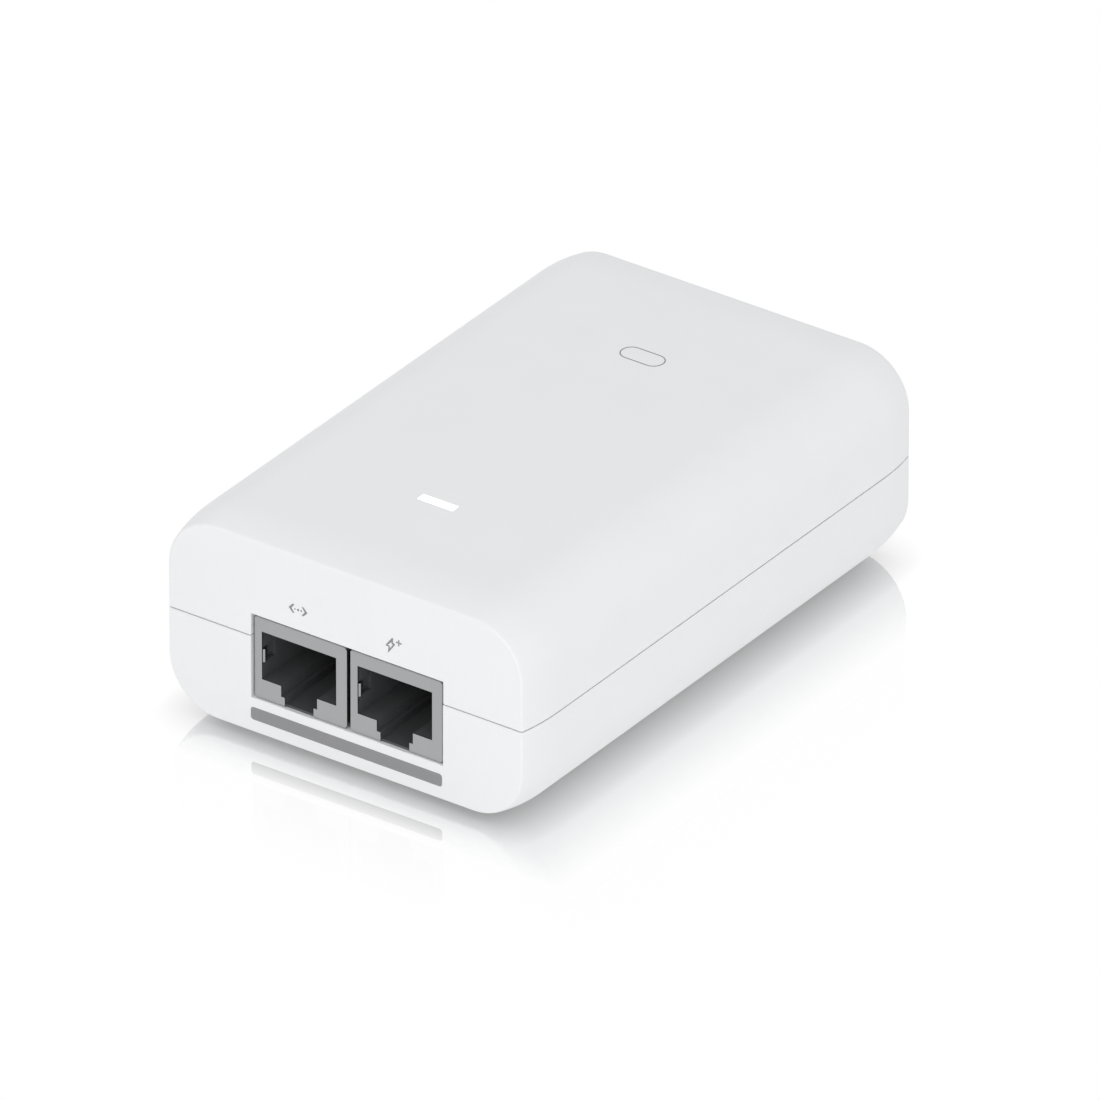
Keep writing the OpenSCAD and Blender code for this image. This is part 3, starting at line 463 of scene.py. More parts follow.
class Dressing:
    """Gives every piece its finish, its material slot and its body."""

    def __init__(self) -> None:
        """Reads from the frame's record which slot each node belongs to."""
        self.made: dict[str, bpy.types.Material] = {}
        self.slots: dict[str, str] = {entry["node"]: entry["material_slot"]
                                      for entry in frame["record"]["subparts"]}

    def material(self, finish: str) -> bpy.types.Material:
        """The material of a finish, built on first use.

        Args:
            finish: A key of FINISHES.

        Returns:
            The material.
        """
        if finish not in self.made:
            self.made[finish] = FINISHES[finish].material(finish)
        return self.made[finish]

    def coat(self, piece: Piece, finish: str) -> None:
        """Puts one finish on a whole piece.

        Args:
            piece: The object to dress.
            finish: A key of FINISHES.
        """
        piece.data.materials.clear()
        piece.data.materials.append(self.material(finish))

    def add(self, piece: Piece, slot: str, finish: str | None = None) -> None:
        """Dresses a new piece and lets it ride on the root body.

        Args:
            piece: The object to add.
            slot: The record's slot it belongs to.
            finish: Another finish than the slot's own.
        """
        self.coat(piece, finish or slot)
        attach(piece, ROOT)
        LOG.info("%s: new piece, %s", piece.name, finish or slot)


# ------------ meshes


OVER = 1.0  # how far a cutting body stands out of what it cuts, in millimetres
NEARLY = 0.001  # what a half-round end's radius lacks, so that no edge has zero length
ROD_SIDES = 64
WELD_REACH = 0.002  # distance within which vertices are joined, in millimetres
SHARP_ANGLE = 38.0  # least angle of an edge that is softened, in degrees
EDGE_SEGMENTS = 2


def new_object(name: str, bm: bmesh.types.BMesh) -> Piece:
    """Turns a bmesh in millimetres into a smooth-shaded object in metres.

    Args:
        name: The object's name.
        bm: The mesh, which is freed.

    Returns:
        The object, linked to the scene.
    """
    bmesh.ops.scale(bm, vec=(MM, MM, MM), verts=bm.verts)
    bmesh.ops.recalc_face_normals(bm, faces=bm.faces)
    mesh = bpy.data.meshes.new(name)
    bm.to_mesh(mesh)
    bm.free()
    for face in mesh.polygons:
        face.use_smooth = True
    made = bpy.data.objects.new(name, mesh)
    bpy.context.scene.collection.objects.link(made)
    return made


def loft(name: str, rings: Sequence[Sequence[Place]]) -> Piece:
    """A closed body through rings of equal length, with flat ends.

    Args:
        name: The object's name.
        rings: Points of each ring in millimetres.

    Returns:
        The object.
    """
    bm = bmesh.new()
    rows = [[bm.verts.new(p) for p in ring] for ring in rings]
    for low, high in zip(rows, rows[1:]):
        for i in range(len(low)):
            j = (i + 1) % len(low)
            bm.faces.new((low[i], low[j], high[j], high[i]))
    bm.faces.new(rows[0])
    bm.faces.new(rows[-1])
    return new_object(name, bm)


class Axis(Enum):
    """Direction along which an outline is given its thickness."""

    X = 0
    Y = 1
    Z = 2


def prism(name: str, outline: Iterable[Point], axis: Axis, low: float, high: float) -> Piece:
    """An outline given thickness along an axis.

    Args:
        name: The object's name.
        outline: Points in millimetres on the two other axes, in their order.
        axis: Direction of the thickness.
        low: Where it starts.
        high: Where it ends.

    Returns:
        The object.
    """
    points = list(outline)
    return loft(name, [[(*p[:axis.value], at, *p[axis.value:]) for p in points] for at in (low, high)])


def rounded(mid: Point, size: Point, r: float, steps: int = 12) -> list[Point]:
    """A rectangle with round corners.

    Args:
        mid: Its centre.
        size: Its width and height.
        r: Corner radius.
        steps: Segments of each corner.

    Returns:
        The outline, counter-clockwise.
    """
    points = []
    for quarter, (sx, sy) in enumerate([(1, 1), (-1, 1), (-1, -1), (1, -1)]):
        x = mid[0] + sx * (size[0] / 2 - r)
        y = mid[1] + sy * (size[1] / 2 - r)
        for i in range(steps + 1):
            a = math.radians(90 * quarter + 90 * i / steps)
            points.append((x + r * math.cos(a), y + r * math.sin(a)))
    return points


def block(name: str, low: Place, high: Place) -> Piece:
    """A box between two corners, in millimetres, for cutting.

    Args:
        name: The object's name.
        low: Lowest corner.
        high: Highest corner.

    Returns:
        The object.
    """
    (x0, y0, z0), (x1, y1, z1) = low, high
    return prism(name, [(x0, y0), (x1, y0), (x1, y1), (x0, y1)], Axis.Z, z0, z1)


def rod(name: str, mid: Point, low: float, high: float, d: float) -> Piece:
    """An upright cylinder, in millimetres.

    Args:
        name: The object's name.
        mid: Its centre on x and y.
        low: Height of its foot.
        high: Height of its top.
        d: Diameter.

    Returns:
        The object.
    """
    turn = [2 * math.pi * i / ROD_SIDES for i in range(ROD_SIDES)]
    outline = [(mid[0] + d / 2 * math.cos(a), mid[1] + d / 2 * math.sin(a)) for a in turn]
    return prism(name, outline, Axis.Z, low, high)


class Cut(Enum):
    """What a tool body does to a piece."""

    AWAY = "DIFFERENCE"
    KEEP = "INTERSECT"
    JOIN = "UNION"


def apply_modifiers(piece: Piece) -> None:
    """Writes a piece's modifiers into its mesh.

    Args:
        piece: The object to change.
    """
    graph = bpy.context.evaluated_depsgraph_get()
    graph.update()
    mesh = bpy.data.meshes.new_from_object(piece.evaluated_get(graph))
    old = piece.data
    piece.modifiers.clear()
    piece.data = mesh
    bpy.data.meshes.remove(old)


def carve(piece: Piece, tools: Sequence[tuple[Cut, Piece]]) -> None:
    """Works a piece with tool bodies, in order, and removes them.

    Args:
        piece: The object to change.
        tools: What each tool does, and the tool.
    """
    for cut, tool in tools:
        step = piece.modifiers.new(tool.name, "BOOLEAN")
        step.operation = cut.value
        step.object = tool
        step.solver = "EXACT"
    apply_modifiers(piece)
    for _, tool in tools:
        bpy.data.objects.remove(tool)


def soften(piece: Piece, width: float, weld: bool = False) -> None:
    """Rounds a piece's sharp edges and keeps its flat faces flat in the light.

    Args:
        piece: The object to change.
        width: Width of the round in millimetres.
        weld: Whether its vertices have to be joined first.
    """
    if weld:
        join = piece.modifiers.new("weld", "WELD")
        join.merge_threshold = WELD_REACH * MM
    edge = piece.modifiers.new("edges", "BEVEL")
    edge.width = width * MM
    edge.segments = EDGE_SEGMENTS
    edge.limit_method = "ANGLE"
    edge.angle_limit = math.radians(SHARP_ANGLE)
    edge.harden_normals = True
    edge.use_clamp_overlap = True


def corners(node: str) -> tuple[Vector, Vector]:
    """A CAD node's lowest and highest corner, in millimetres.

    Args:
        node: The node's name.

    Returns:
        The two corners.
    """
    low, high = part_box(node)
    return low / MM, high / MM


def spots(node: str, inset: float) -> list[Point]:
    """The four places of a node's solids that stand in its box's corners.

    Args:
        node: The node's name.
        inset: Distance of each solid's middle from the box's sides.

    Returns:
        Their middles on x and y.
    """
    low, high = corners(node)
    return [(x, y) for x in (low.x + inset, high.x - inset) for y in (low.y + inset, high.y - inset)]


# ------------ case


@dataclass
class Case:
    """The two white shells, lofted finer than the frame's own and carved to match it.

    Lengths are in millimetres.

    Attributes:
        dressing: Where the finishes come from.
        corner_r: Radius of the four long corners.
        taper_l: Length over which each end draws in.
        taper_side: How far the sides draw in.
        taper_top: How far the top and the bottom draw in.
        end_edge_r: Radius of the edge round each end face.
        wall: Thickness of the walls.
        seam_gap: Open gap between the shells.
        lip_h: Height of the lip on the bottom shell.
        lip_t: Thickness of the lip.
        lip_clear: Clearance round the lip.
        side_clear: Clearance beside the jacks.
        clear: Clearance below the jacks.
        top_clear: Clearance above the jacks.
        inlet_flange: How far the inlet's flange stands out.
        inlet_cut: Leg of the inlet's cut corners.
        inlet_clear: Clearance round the inlet.
        light_clear: Clearance round the light bar.
        light_collar: How far the light guide's foot reaches past the bar, across the case.
        light_foot: How far it reaches past the bar, along the case.
        foot_d: Diameter of a rubber foot.
        foot_clear: Clearance round it.
        foot_recess: Depth of its recess.
        head_d: Diameter of a screw's head.
        head_h: Height of the head.
        head_clear: Clearance round the head.
        screw_hole_d: Diameter of the hole for its shank.
        boss_d: Diameter of the boss round that hole.
        ink: Thickness left for printing on the skin.
        edge: Width of the softened edges.
        corner_steps: Segments of a long corner.
        taper_steps: Rings of a drawn-in end.
        edge_steps: Rings of an end's round edge.
    """

    dressing: Dressing
    corner_r: float = 9.5
    taper_l: float = 7.5
    taper_side: float = 0.9
    taper_top: float = 1.1
    end_edge_r: float = 0.3
    wall: float = 2.2
    seam_gap: float = 0.16
    lip_h: float = 1.3
    lip_t: float = 0.9
    lip_clear: float = 0.15
    side_clear: float = 0.34
    clear: float = 0.06
    top_clear: float = 0.36
    inlet_flange: float = 1.2
    inlet_cut: float = 5.92
    inlet_clear: float = 0.15
    light_clear: float = 0.01
    light_collar: float = 1.2
    light_foot: float = 0.3
    foot_d: float = 9.0
    foot_clear: float = 0.15
    foot_recess: float = 0.8
    head_d: float = 5.6
    head_h: float = 2.0
    head_clear: float = 0.3
    screw_hole_d: float = 3.4
    boss_d: float = 8.0
    ink: float = 0.02
    edge: float = 0.12
    corner_steps: int = 24
    taper_steps: int = 12
    edge_steps: int = 5

    def __post_init__(self) -> None:
        """Reads the overall sizes from the frame."""
        low, high = corners("bottom_shell")
        _, top = corners("top_shell")
        self.half_w = high.x - self.ink
        self.end_y = high.y - self.ink
        self.z0 = low.z + self.ink
        self.z1 = top.z - self.ink
        self.seam_z = high.z - self.lip_h
        self.mid_z = (self.z0 + self.z1) / 2

    def drawn_in(self, y: float, depth: float) -> float:
        """How far a side has drawn in.

        Args:
            y: Distance from the middle.
            depth: Draw at the very end.

        Returns:
            The inset.
        """
        t = max(0.0, y - (self.end_y - self.taper_l))
        r = (self.taper_l**2 + depth**2) / (2 * depth)
        return r - math.sqrt(r * r - t * t)

    def ring(self, y: float) -> list[Point]:
        """The skin's section.

        Args:
            y: Place along the case.

        Returns:
            Points on x and z.
        """
        d = abs(y)
        s = max(0.0, d - (self.end_y - self.end_edge_r))
        edge = self.end_edge_r - math.sqrt(max(0.0, self.end_edge_r**2 - s * s))
        in_x = self.drawn_in(d, self.taper_side) + edge
        in_z = self.drawn_in(d, self.taper_top) + edge
        return self.section(in_x, in_z, self.corner_r - (in_x + in_z) / 2, self.corner_steps)

    def section(self, in_x: float, in_z: float, r: float, steps: int = 12) -> list[Point]:
        """The case's section, made smaller on all sides.

        Args:
            in_x: Inset at the sides.
            in_z: Inset at the top and the bottom.
            r: Corner radius.
            steps: Segments of each corner.

        Returns:
            Points on x and z.
        """
        size = (2 * (self.half_w - in_x), self.z1 - self.z0 - 2 * in_z)
        return rounded((0.0, self.mid_z), size, r, steps)

    def skin(self, name: str) -> Piece:
        """The whole case's outside as one closed body.

        Args:
            name: The object's name.

        Returns:
            The object.
        """
        start = self.end_y - self.taper_l
        edge = self.end_y - self.end_edge_r
        taper = [start + (edge - start) * i / self.taper_steps for i in range(self.taper_steps + 1)]
        turn = [edge + self.end_edge_r * math.sin(math.radians(90 * i / self.edge_steps))
                for i in range(1, self.edge_steps + 1)]
        places = taper + turn
        ys = [-y for y in reversed(places)] + places
        return loft(name, [[(x, y, z) for x, z in self.ring(y)] for y in ys])

    def core(self) -> Piece:
        """The room inside the walls, as a straight block of the case's section.

        Returns:
            The body to cut away.
        """
        y = self.end_y - self.wall
        outline = self.section(self.wall, self.wall, self.corner_r - self.wall)
        return prism("core", outline, Axis.Y, -y, y)

    def slab(self, low: float, high: float, inset: float = -OVER) -> Piece:
        """A level block as wide as the case.

        Args:
            low: Height of its underside.
            high: Height of its top.
            inset: Distance inside the skin's greatest width.

        Returns:
            The object.
        """
        x, y = self.half_w - inset, self.end_y - inset
        return block("slab", (-x, -y, low), (x, y, high))

    def window(self) -> Piece:
        """The opening round the two jacks.

        Returns:
            The body to cut away.
        """
        left, _ = corners("data_jack_shield")
        _, right = corners("power_jack_shield")
        return block("window", (left.x - self.side_clear, -self.end_y - OVER, left.z - self.clear),
                     (right.x + self.side_clear, -self.end_y + 2 * self.wall, right.z + self.top_clear))

    def inlet_hole(self) -> Piece:
        """The opening round the mains inlet.

        Returns:
            The body to cut away.
        """
        low, high = corners("inlet_body")
        half_w = high.x - self.inlet_flange + self.inlet_clear
        z0 = low.z - self.inlet_clear
        z1 = high.z - self.inlet_flange + self.inlet_clear
        cut = self.inlet_cut
        outline = [(-half_w, z0), (half_w, z0), (half_w, z1 - cut), (half_w - cut, z1),
                   (-half_w + cut, z1), (-half_w, z1 - cut)]
        return prism("inlet_hole", outline, Axis.Y, self.end_y - self.wall - OVER, self.end_y + OVER)

    def light_hole(self) -> Piece:
        """The slot round the light bar.

        Returns:
            The body to cut away.
        """
        low, high = corners("light_guide")
        in_x, in_y = self.light_collar - self.light_clear, self.light_foot - self.light_clear
        return block("light_hole", (low.x + in_x, low.y + in_y, high.z - 3 * self.wall),
                     (high.x - in_x, high.y - in_y, high.z + OVER))

    def top_shell(self) -> None:
        """Makes the top shell, rebated for the bottom shell's lip."""
        shell = self.skin("top_shell_fine")
        rebate = self.slab(self.seam_z - OVER, self.seam_z + self.lip_h + self.lip_clear,
                           self.wall - self.lip_t - self.lip_clear)
        carve(shell, [(Cut.KEEP, self.slab(self.seam_z + self.seam_gap / 2, self.z1 + OVER)),
                      (Cut.AWAY, self.core()), (Cut.AWAY, rebate), (Cut.AWAY, self.window()),
                      (Cut.AWAY, self.inlet_hole()), (Cut.AWAY, self.light_hole())])
        soften(shell, self.edge)
        self.dressing.add(shell, "case_plastic")
        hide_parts("top_shell")

    def bottom_shell(self) -> None:
        """Makes the bottom shell with its lip, foot recesses, bosses and screw holes."""
        shell = self.skin("bottom_shell_fine")
        board_z = corners("main_board")[0].z
        head_z = corners("case_screws")[0].z + self.head_h
        tools = [(Cut.KEEP, self.slab(self.z0 - OVER, self.seam_z - self.seam_gap / 2)),
                 (Cut.JOIN, self.slab(self.seam_z - 2 * self.lip_h, self.seam_z + self.lip_h,
                                      self.wall - self.lip_t)),
                 (Cut.AWAY, self.core()), (Cut.AWAY, self.window()), (Cut.AWAY, self.inlet_hole())]
        for mid in spots("rubber_feet", self.foot_d / 2):
            tools.append((Cut.AWAY, rod("foot_recess", mid, self.z0 - OVER, self.z0 + self.foot_recess,
                                        self.foot_d + 2 * self.foot_clear)))
        for mid in spots("case_screws", self.head_d / 2):
            tools += [(Cut.JOIN, rod("boss", mid, self.z0 + self.wall / 2, board_z, self.boss_d)),
                      (Cut.AWAY, rod("counterbore", mid, self.z0 - OVER, head_z,
                                     self.head_d + 2 * self.head_clear)),
                      (Cut.AWAY, rod("screw_hole", mid, self.z0, board_z + OVER, self.screw_hole_d))]
        carve(shell, tools)
        soften(shell, self.edge)
        self.dressing.add(shell, "case_plastic")
        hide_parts("bottom_shell")

    def build(self) -> None:
        """Makes both shells."""
        self.top_shell()
        self.bottom_shell()


# ------------ printing


# Lightning stroke and the space inside it, from the middle of the power symbol
BOLT: list[Point] = [(-0.35, 1.13), (-1.42, -0.32), (-1.37, -0.47), (-0.95, -0.5), (-1.05, -1.42),
                     (-0.95, -1.42), (0.18, 0.13), (0.15, 0.28), (-0.21, 0.36), (-0.15, 1.08)]
BOLT_INSIDE: list[Point] = [(-0.42, 0.42), (-1.08, -0.25), (-0.75, -0.33), (-0.72, -0.72),
                            (-0.2, 0.02), (-0.42, 0.1)]
QUARTER_TURNS: list[Point] = [(1, 0), (0, -1), (-1, 0), (0, 1)]  # cosine and sine of each
DOT_STEPS = 6


def moved(outline: Iterable[Point], by: Point) -> list[Point]:
    """An outline moved to another place.

    Args:
        outline: Its points.
        by: How far it moves.

    Returns:
        The moved points.
    """
    return [(x + by[0], z + by[1]) for x, z in outline]


@dataclass
class Printing:
    """Flat grey printing: the strip under the jacks, the port symbols and an empty oval.

    Lengths are in millimetres, and points on the front face are on x and z.

    Attributes:
        dressing: Where the finish comes from.
        face_y: Place of the front end face.
        top_z: Height of the top.
        ink: Thickness of the print.
        strip_mid: Middle of the strip.
        strip_size: Its width and height.
        strip_r: Its corner radius.
        network_mid: Middle of the network symbol.
        bracket_tip: Distance from that middle to a bracket's tip.
        bracket_half: Half a bracket's height.
        bracket_run: How far a bracket's arms lie back.
        bracket_t: Thickness of a bracket's line at its ends.
        bracket_tip_t: Thickness of the line at the tip.
        dot_step: Distance from one dot to the next.
        dots: Diameters of the three dots.
        power_mid: Middle of the power symbol.
        plus_mid: Middle of its plus, from the symbol's middle.
        plus_arm: Length of the plus's arms.
        plus_half: Half the thickness of the arms.
        oval_mid: Middle of the oval on x and y.
        oval_size: Its length and width.
        oval_line: Thickness of its line.
    """

    dressing: Dressing
    face_y: float
    top_z: float
    ink: float
    strip_mid: Point = (0.25, 4.575)
    strip_size: Point = (33.18, 2.05)
    strip_r: float = 0.5
    network_mid: Point = (-8.05, 24.1)
    bracket_tip: float = 1.62
    bracket_half: float = 0.72
    bracket_run: float = 0.66
    bracket_t: float = 0.34
    bracket_tip_t: float = 0.476
    dot_step: float = 0.55
    dots: Place = (0.24, 0.38, 0.28)
    power_mid: Point = (8.57, 23.92)
    plus_mid: Point = (0.81, 0.64)
    plus_arm: float = 0.5
    plus_half: float = 0.11
    oval_mid: Point = (0.16, 24.94)
    oval_size: Point = (7.3, 3.5)
    oval_line: float = 0.18

    def on_front(self, name: str, outline: Iterable[Point]) -> Piece:
        """A print on the front face.

        Args:
            name: The object's name.
            outline: Points on x and z.

        Returns:
            The object.
        """
        return prism(name, outline, Axis.Y, self.face_y - self.ink, self.face_y + self.ink / 2)

    def strip(self) -> Piece:
        """The bare strip under the jacks."""
        return self.on_front("jack_strip", rounded(self.strip_mid, self.strip_size, self.strip_r))

    def bracket(self, name: str, side: int) -> Piece:
        """One angle bracket of the network symbol.

        Args:
            name: The object's name.
            side: 1 is on the right and points right, -1 is on the left and points left.

        Returns:
            The object.
        """
        h, run, t = self.bracket_half, self.bracket_run, self.bracket_t
        back = [(0.0, 0.0), (-run, h), (-run - t, h), (-self.bracket_tip_t, 0.0), (-run - t, -h),
                (-run, -h)]
        outline = [(side * (self.bracket_tip + x), z) for x, z in back]
        return self.on_front(name, moved(outline, self.network_mid))

    def dot(self, name: str, place: int, d: float) -> Piece:
        """A round dot of the network symbol.

        Args:
            name: The object's name.
            place: Steps right of the symbol's middle.
            d: Diameter.

        Returns:
            The object.
        """
        x, z = self.network_mid
        mid = (x + self.dot_step * place, z)
        return self.on_front(name, rounded(mid, (d, d), d / 2 - NEARLY, DOT_STEPS))

    def network_symbol(self) -> list[Piece]:
        """Two brackets with three dots between them.

        Returns:
            The pieces.
        """
        brackets = [self.bracket("port_symbol_left", -1), self.bracket("port_symbol_right", 1)]
        return brackets + [self.dot(f"port_symbol_dot_{i}", i - 2, d) for i, d in enumerate(self.dots, 1)]

    def power_symbol(self) -> list[Piece]:
        """A lightning stroke with a small plus beside it.

        Returns:
            The pieces.
        """
        stroke = self.on_front("power_symbol_bolt", moved(BOLT, self.power_mid))
        hole = prism("bolt_inside", moved(BOLT_INSIDE, self.power_mid), Axis.Y,
                     self.face_y - OVER, self.face_y + OVER)
        carve(stroke, [(Cut.AWAY, hole)])
        arm, half = self.plus_arm, self.plus_half
        quarter = [(-half, arm), (half, arm), (half, half)]
        plus = [(c * x - s * z, s * x + c * z) for c, s in QUARTER_TURNS for x, z in quarter]
        plus = moved(moved(plus, self.plus_mid), self.power_mid)
        return [stroke, self.on_front("power_symbol_plus", plus)]

    def oval(self) -> Piece:
        """An empty oval line on the top.

        Returns:
            The object.
        """
        low, high = self.top_z - self.ink / 2, self.top_z + self.ink
        (w, h), line = self.oval_size, self.oval_line
        outer = rounded(self.oval_mid, (w, h), h / 2 - NEARLY)
        inner = rounded(self.oval_mid, (w - 2 * line, h - 2 * line), h / 2 - line - NEARLY)
        made = prism("top_oval", outer, Axis.Z, low, high)
        carve(made, [(Cut.AWAY, prism("oval_inside", inner, Axis.Z, low - OVER, high + OVER))])
        return made

    def build(self) -> None:
        """Prints everything, with flat faces."""
        for piece in [self.strip(), *self.network_symbol(), *self.power_symbol(), self.oval()]:
            for face in piece.data.polygons:
                face.use_smooth = False
            self.dressing.add(piece, "case_plastic", "print_grey")


# ------------ frame pieces


@dataclass
class FramePieces:
    """The frame's own nodes, kept as they are with finished materials and softened edges.

    Attributes:
        dressing: Where the finishes come from.
        edges: Width of the softened edges of the nodes that show, in millimetres.
    """

    dressing: Dressing
    edges: dict[str, float] = field(default_factory=lambda: {
        "data_jack_shield": 0.05, "power_jack_shield": 0.05,
        "data_jack_insert": 0.06, "power_jack_insert": 0.06,
        "data_jack_contacts": 0.04, "power_jack_contacts": 0.04,
        "inlet_body": 0.2, "line_pin": 0.15, "neutral_pin": 0.15, "earth_pin": 0.15,
        "case_screws": 0.15, "light_guide": 0.05})

    def build(self) -> None:
        """Dresses every node of the frame."""
        for name, node in sorted(frame["nodes"].items()):
            slot = self.dressing.slots[name]
            self.dressing.coat(node, slot)
            if name in self.edges:
                soften(node, self.edges[name], weld=True)
            LOG.info("%s: frame node, %s", name, slot)


# ------------ stage


@dataclass(frozen=True)
class Lamp:
    """A soft square lamp that faces the object.

    Attributes:
        name: Its name.
        side: Its bearing from the front towards the right, in degrees.
        height: Its height above the horizon, in degrees.
        power: Its power in watts.
        distance: Its distance from the origin, in metres.
        size: Its width, in metres.
    """

    name: str
    side: float
    height: float
    power: float
    distance: float = 1.6
    size: float = 0.8

    def hang(self) -> None:
        """Adds the lamp to the scene."""
        a, e = math.radians(self.side), math.radians(self.height)
        way = Vector((math.cos(e) * math.sin(a), -math.cos(e) * math.cos(a), math.sin(e)))
        data = bpy.data.lights.new(self.name, "AREA")
        data.shape = "SQUARE"
        data.size = self.size
        data.energy = self.power
        made = bpy.data.objects.new(self.name, data)
        made.location = way * self.distance
        made.rotation_euler = way.to_track_quat("Z", "Y").to_euler()
        bpy.context.scene.collection.objects.link(made)


@dataclass
class Eye:
    """The camera.

    Attributes:
        yaw: Its turn about the upright axis, in degrees.
        pitch: Its height above the horizon, in degrees.
        roll: Its roll, in degrees.
        distance: Distance from the aim point, in millimetres.
        lens: Focal length, in millimetres.
        sensor: Width of the picture behind that lens, in millimetres.
        offset: How far the aim point lies right of and above the picture's middle, in millimetres.
        aim_z: Height of the aim point, in millimetres.
        near: Where it starts to see, in metres.
        far: Where it stops seeing, in metres.
    """

    yaw: float = 35.1354
    pitch: float = 30.1023
    roll: float = 0.083
    distance: float = 4249.355
    lens: float = 978.13
    sensor: float = 36.0
    offset: Point = (-1.3215, 2.7874)
    aim_z: float = 17.1
    near: float = 0.1
    far: float = 200.0

    def build(self) -> None:
        """Puts the camera at its place."""
        yaw, pitch, roll = map(math.radians, (self.yaw, self.pitch, self.roll))
        back = Vector((math.cos(pitch) * math.sin(yaw), -math.cos(pitch) * math.cos(yaw),
                       math.sin(pitch)))
        level = Vector((math.cos(yaw), math.sin(yaw), 0.0))
        upright = back.cross(level)
        right = level * math.cos(roll) + upright * math.sin(roll)
        up = upright * math.cos(roll) - level * math.sin(roll)
        place = back * self.distance - right * self.offset[0] - up * self.offset[1]
        place += Vector((0.0, 0.0, self.aim_z))
        data = bpy.data.cameras.new("camera")
        data.sensor_width = self.sensor
        data.lens = self.lens
        data.clip_start = self.near
        data.clip_end = self.far
        made = bpy.data.objects.new("camera", data)
        turn = Matrix((right, up, back)).transposed().to_4x4()
        made.matrix_world = Matrix.Translation(place * MM) @ turn
        bpy.context.scene.collection.objects.link(made)
        bpy.context.scene.camera = made


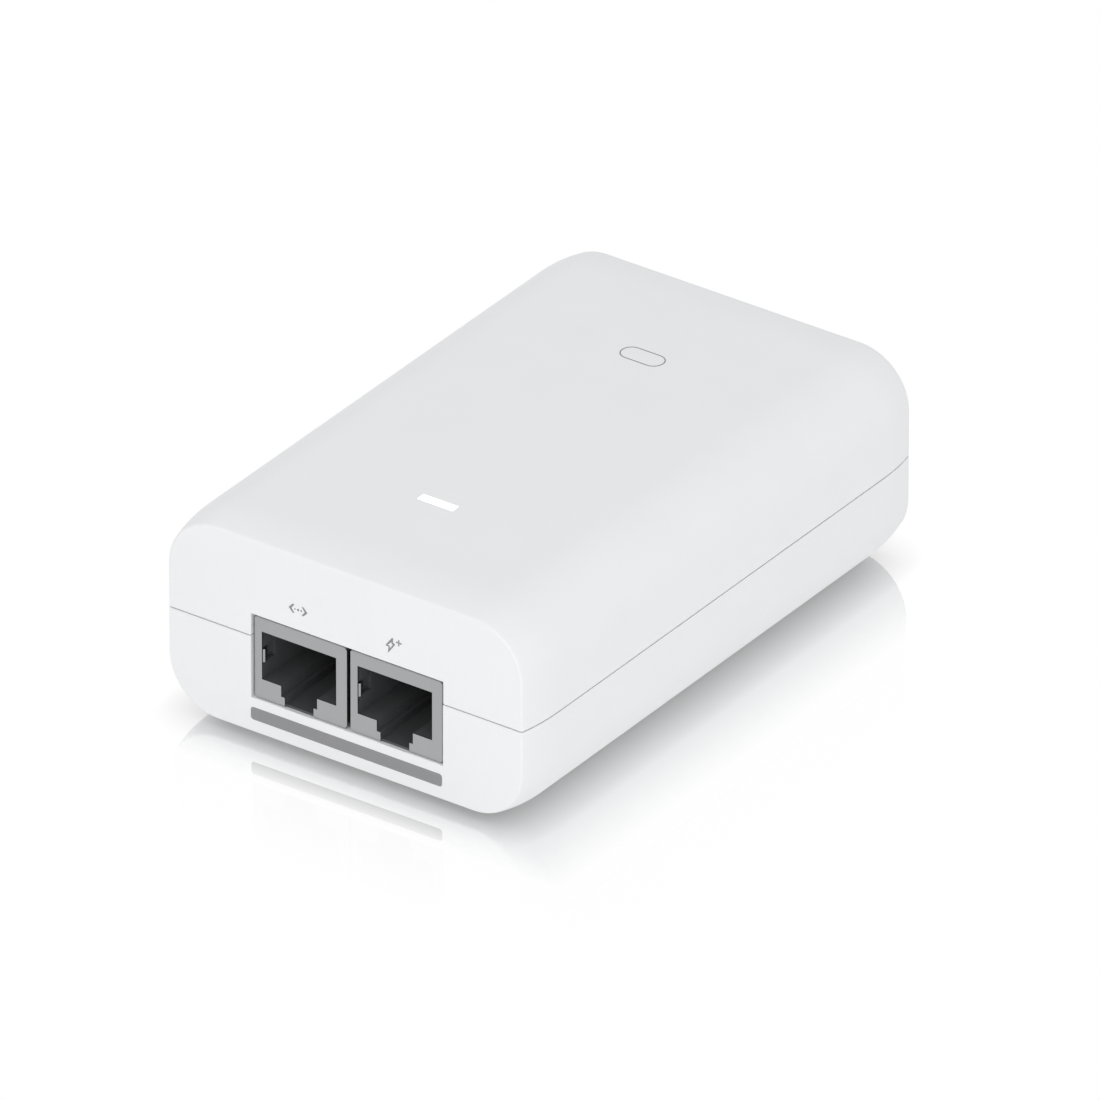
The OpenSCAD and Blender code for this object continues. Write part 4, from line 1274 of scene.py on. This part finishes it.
@dataclass
class Floor:
    """A white floor that mirrors the object near its foot, with painted shade where the object stands.

    Attributes:
        width: Its width, in metres.
        thickness: Its thickness, in millimetres.
        white: How light its matt colour is.
        rough: Least roughness of the mirror.
        smear: How much the roughness drifts.
        smear_size: Size of that drift's patches, in millimetres.
        share: Strength of the mirror at the object's foot.
        reach: Distance at which the mirror has faded, in millimetres.
        fade: How late the mirror fades on its way there.
        front: How much faster it fades before and behind the object than beside it.
        tail: Strength of a faint mirror that reaches further.
        tail_reach: Distance at which that one has faded, in millimetres.
        painted_shade_reach: Reach of the painted shade where the object stands, in millimetres.
        painted_shade_depth: How dark that painted shade is.
        painted_shade_rays: Number of rays that find where the painted shade falls.
    """

    width: float = 12.0
    thickness: float = 1.0
    white: float = 0.98
    rough: float = 0.02
    smear: float = 0.01
    smear_size: float = 300.0
    share: float = 0.72
    reach: float = 12.0
    fade: float = 1.5
    front: float = 1.35
    tail: float = 0.06
    tail_reach: float = 34.0
    painted_shade_reach: float = 6.0
    painted_shade_depth: float = 0.35
    painted_shade_rays: int = 16

    def away(self, graph: Graph) -> Field:
        """Distance on the floor from the object's footprint.

        Args:
            graph: The floor's graph.

        Returns:
            The distance in metres.
        """
        _, high = corners("top_shell")
        flat = graph.node("VectorMath", {"operation": "ABSOLUTE"}, {0: graph.place()})
        x, y, _ = graph.parts(Field(graph, flat.outputs[0]))
        return (x - high.x * MM).maximum((y - high.y * MM) * self.front).maximum(0.0)

    def mirror_share(self, graph: Graph) -> Field:
        """How much of the floor's look is its mirror.

        Args:
            graph: The floor's graph.

        Returns:
            The share, from 0 to 1.
        """
        away = self.away(graph)
        near = (away * (1.0 / (self.reach * MM))).minimum(1.0)
        far = (away * (1.0 / (self.tail_reach * MM))).minimum(1.0)
        return ((1.0 - near**self.fade) * self.share).maximum((1.0 - far) * self.tail)

    def material(self) -> bpy.types.Material:
        """The floor's finish, with painted shade where the object stands.

        Returns:
            The material.
        """
        made = bpy.data.materials.new("floor")
        made.use_nodes = True
        graph = Graph(made.node_tree)
        matt = graph.node("BsdfDiffuse", None, {"Color": opaque((self.white,) * 3)})
        white = graph.plain("Emission", WHITE, 1.0)
        black = graph.plain("Emission", BLACK, 0.0)
        rough = self.rough + graph.noise(graph.place(), self.smear_size) * self.smear
        mirror = graph.node("BsdfAnisotropic", None,
                            {"Color": opaque(WHITE), "Roughness": rough})
        # painted shade: ambient occlusion mixes black into what the camera sees of the floor where the
        # object stands
        near = graph.node("AmbientOcclusion", {"samples": self.painted_shade_rays},
                          {"Distance": self.painted_shade_reach * MM})
        closed = 1.0 - Field(graph, near.outputs["AO"])
        polished = graph.mix_shaders(self.mirror_share(graph), white, mirror)
        seen = graph.mix_shaders(closed * self.painted_shade_depth, polished, black)
        unseen = graph.mix_shaders(graph.ray("Is Glossy Ray", "Is Transmission Ray"), matt, white)
        surface = graph.mix_shaders(graph.ray("Is Camera Ray"), unseen, seen)
        graph.node("OutputMaterial", None, {"Surface": surface.outputs[0]})
        return made

    def build(self) -> None:
        """Lays the floor under the object."""
        half = self.width / 2 / MM
        made = block("floor", (-half, -half, -self.thickness), (half, half, 0.0))
        made.data.materials.append(self.material())


@dataclass
class Stage:
    """Camera, floor, world and lamps.

    Attributes:
        sky: Strength of the surroundings as a light.
        lamps: The lamps.
    """

    sky: float = 0.81
    lamps: tuple[Lamp, ...] = (Lamp("side_lamp", side=45.0, height=20.0, power=4.4),
                               Lamp("front_lamp", side=10.0, height=40.0, power=3.1))

    def world(self) -> None:
        """White surroundings: full white where seen or mirrored, softer as a light."""
        world = bpy.data.worlds.new("studio")
        world.use_nodes = True
        graph = Graph(world.node_tree)
        seen = graph.ray("Is Camera Ray", "Is Glossy Ray", "Is Transmission Ray")
        soft = graph.plain("Background", WHITE, self.sky)
        white = graph.plain("Background", WHITE, 1.0)
        mixed = graph.mix_shaders(seen, soft, white)
        graph.node("OutputWorld", None, {"Surface": mixed.outputs[0]})
        bpy.context.scene.world = world

    def build(self) -> None:
        """Sets the whole stage."""
        Eye().build()
        Floor().build()
        self.world()
        for lamp in self.lamps:
            lamp.hang()
        bpy.context.scene.view_settings.view_transform = "Standard"


def main() -> None:
    """Builds the object and its stage."""
    logging.basicConfig(level=logging.INFO, format="%(name)s: %(message)s")
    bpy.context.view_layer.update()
    dressing = Dressing()
    FramePieces(dressing).build()
    case = Case(dressing)
    case.build()
    Printing(dressing, -case.end_y, case.z1, case.ink).build()
    Stage().build()


if __name__ == "__main__":
    main()
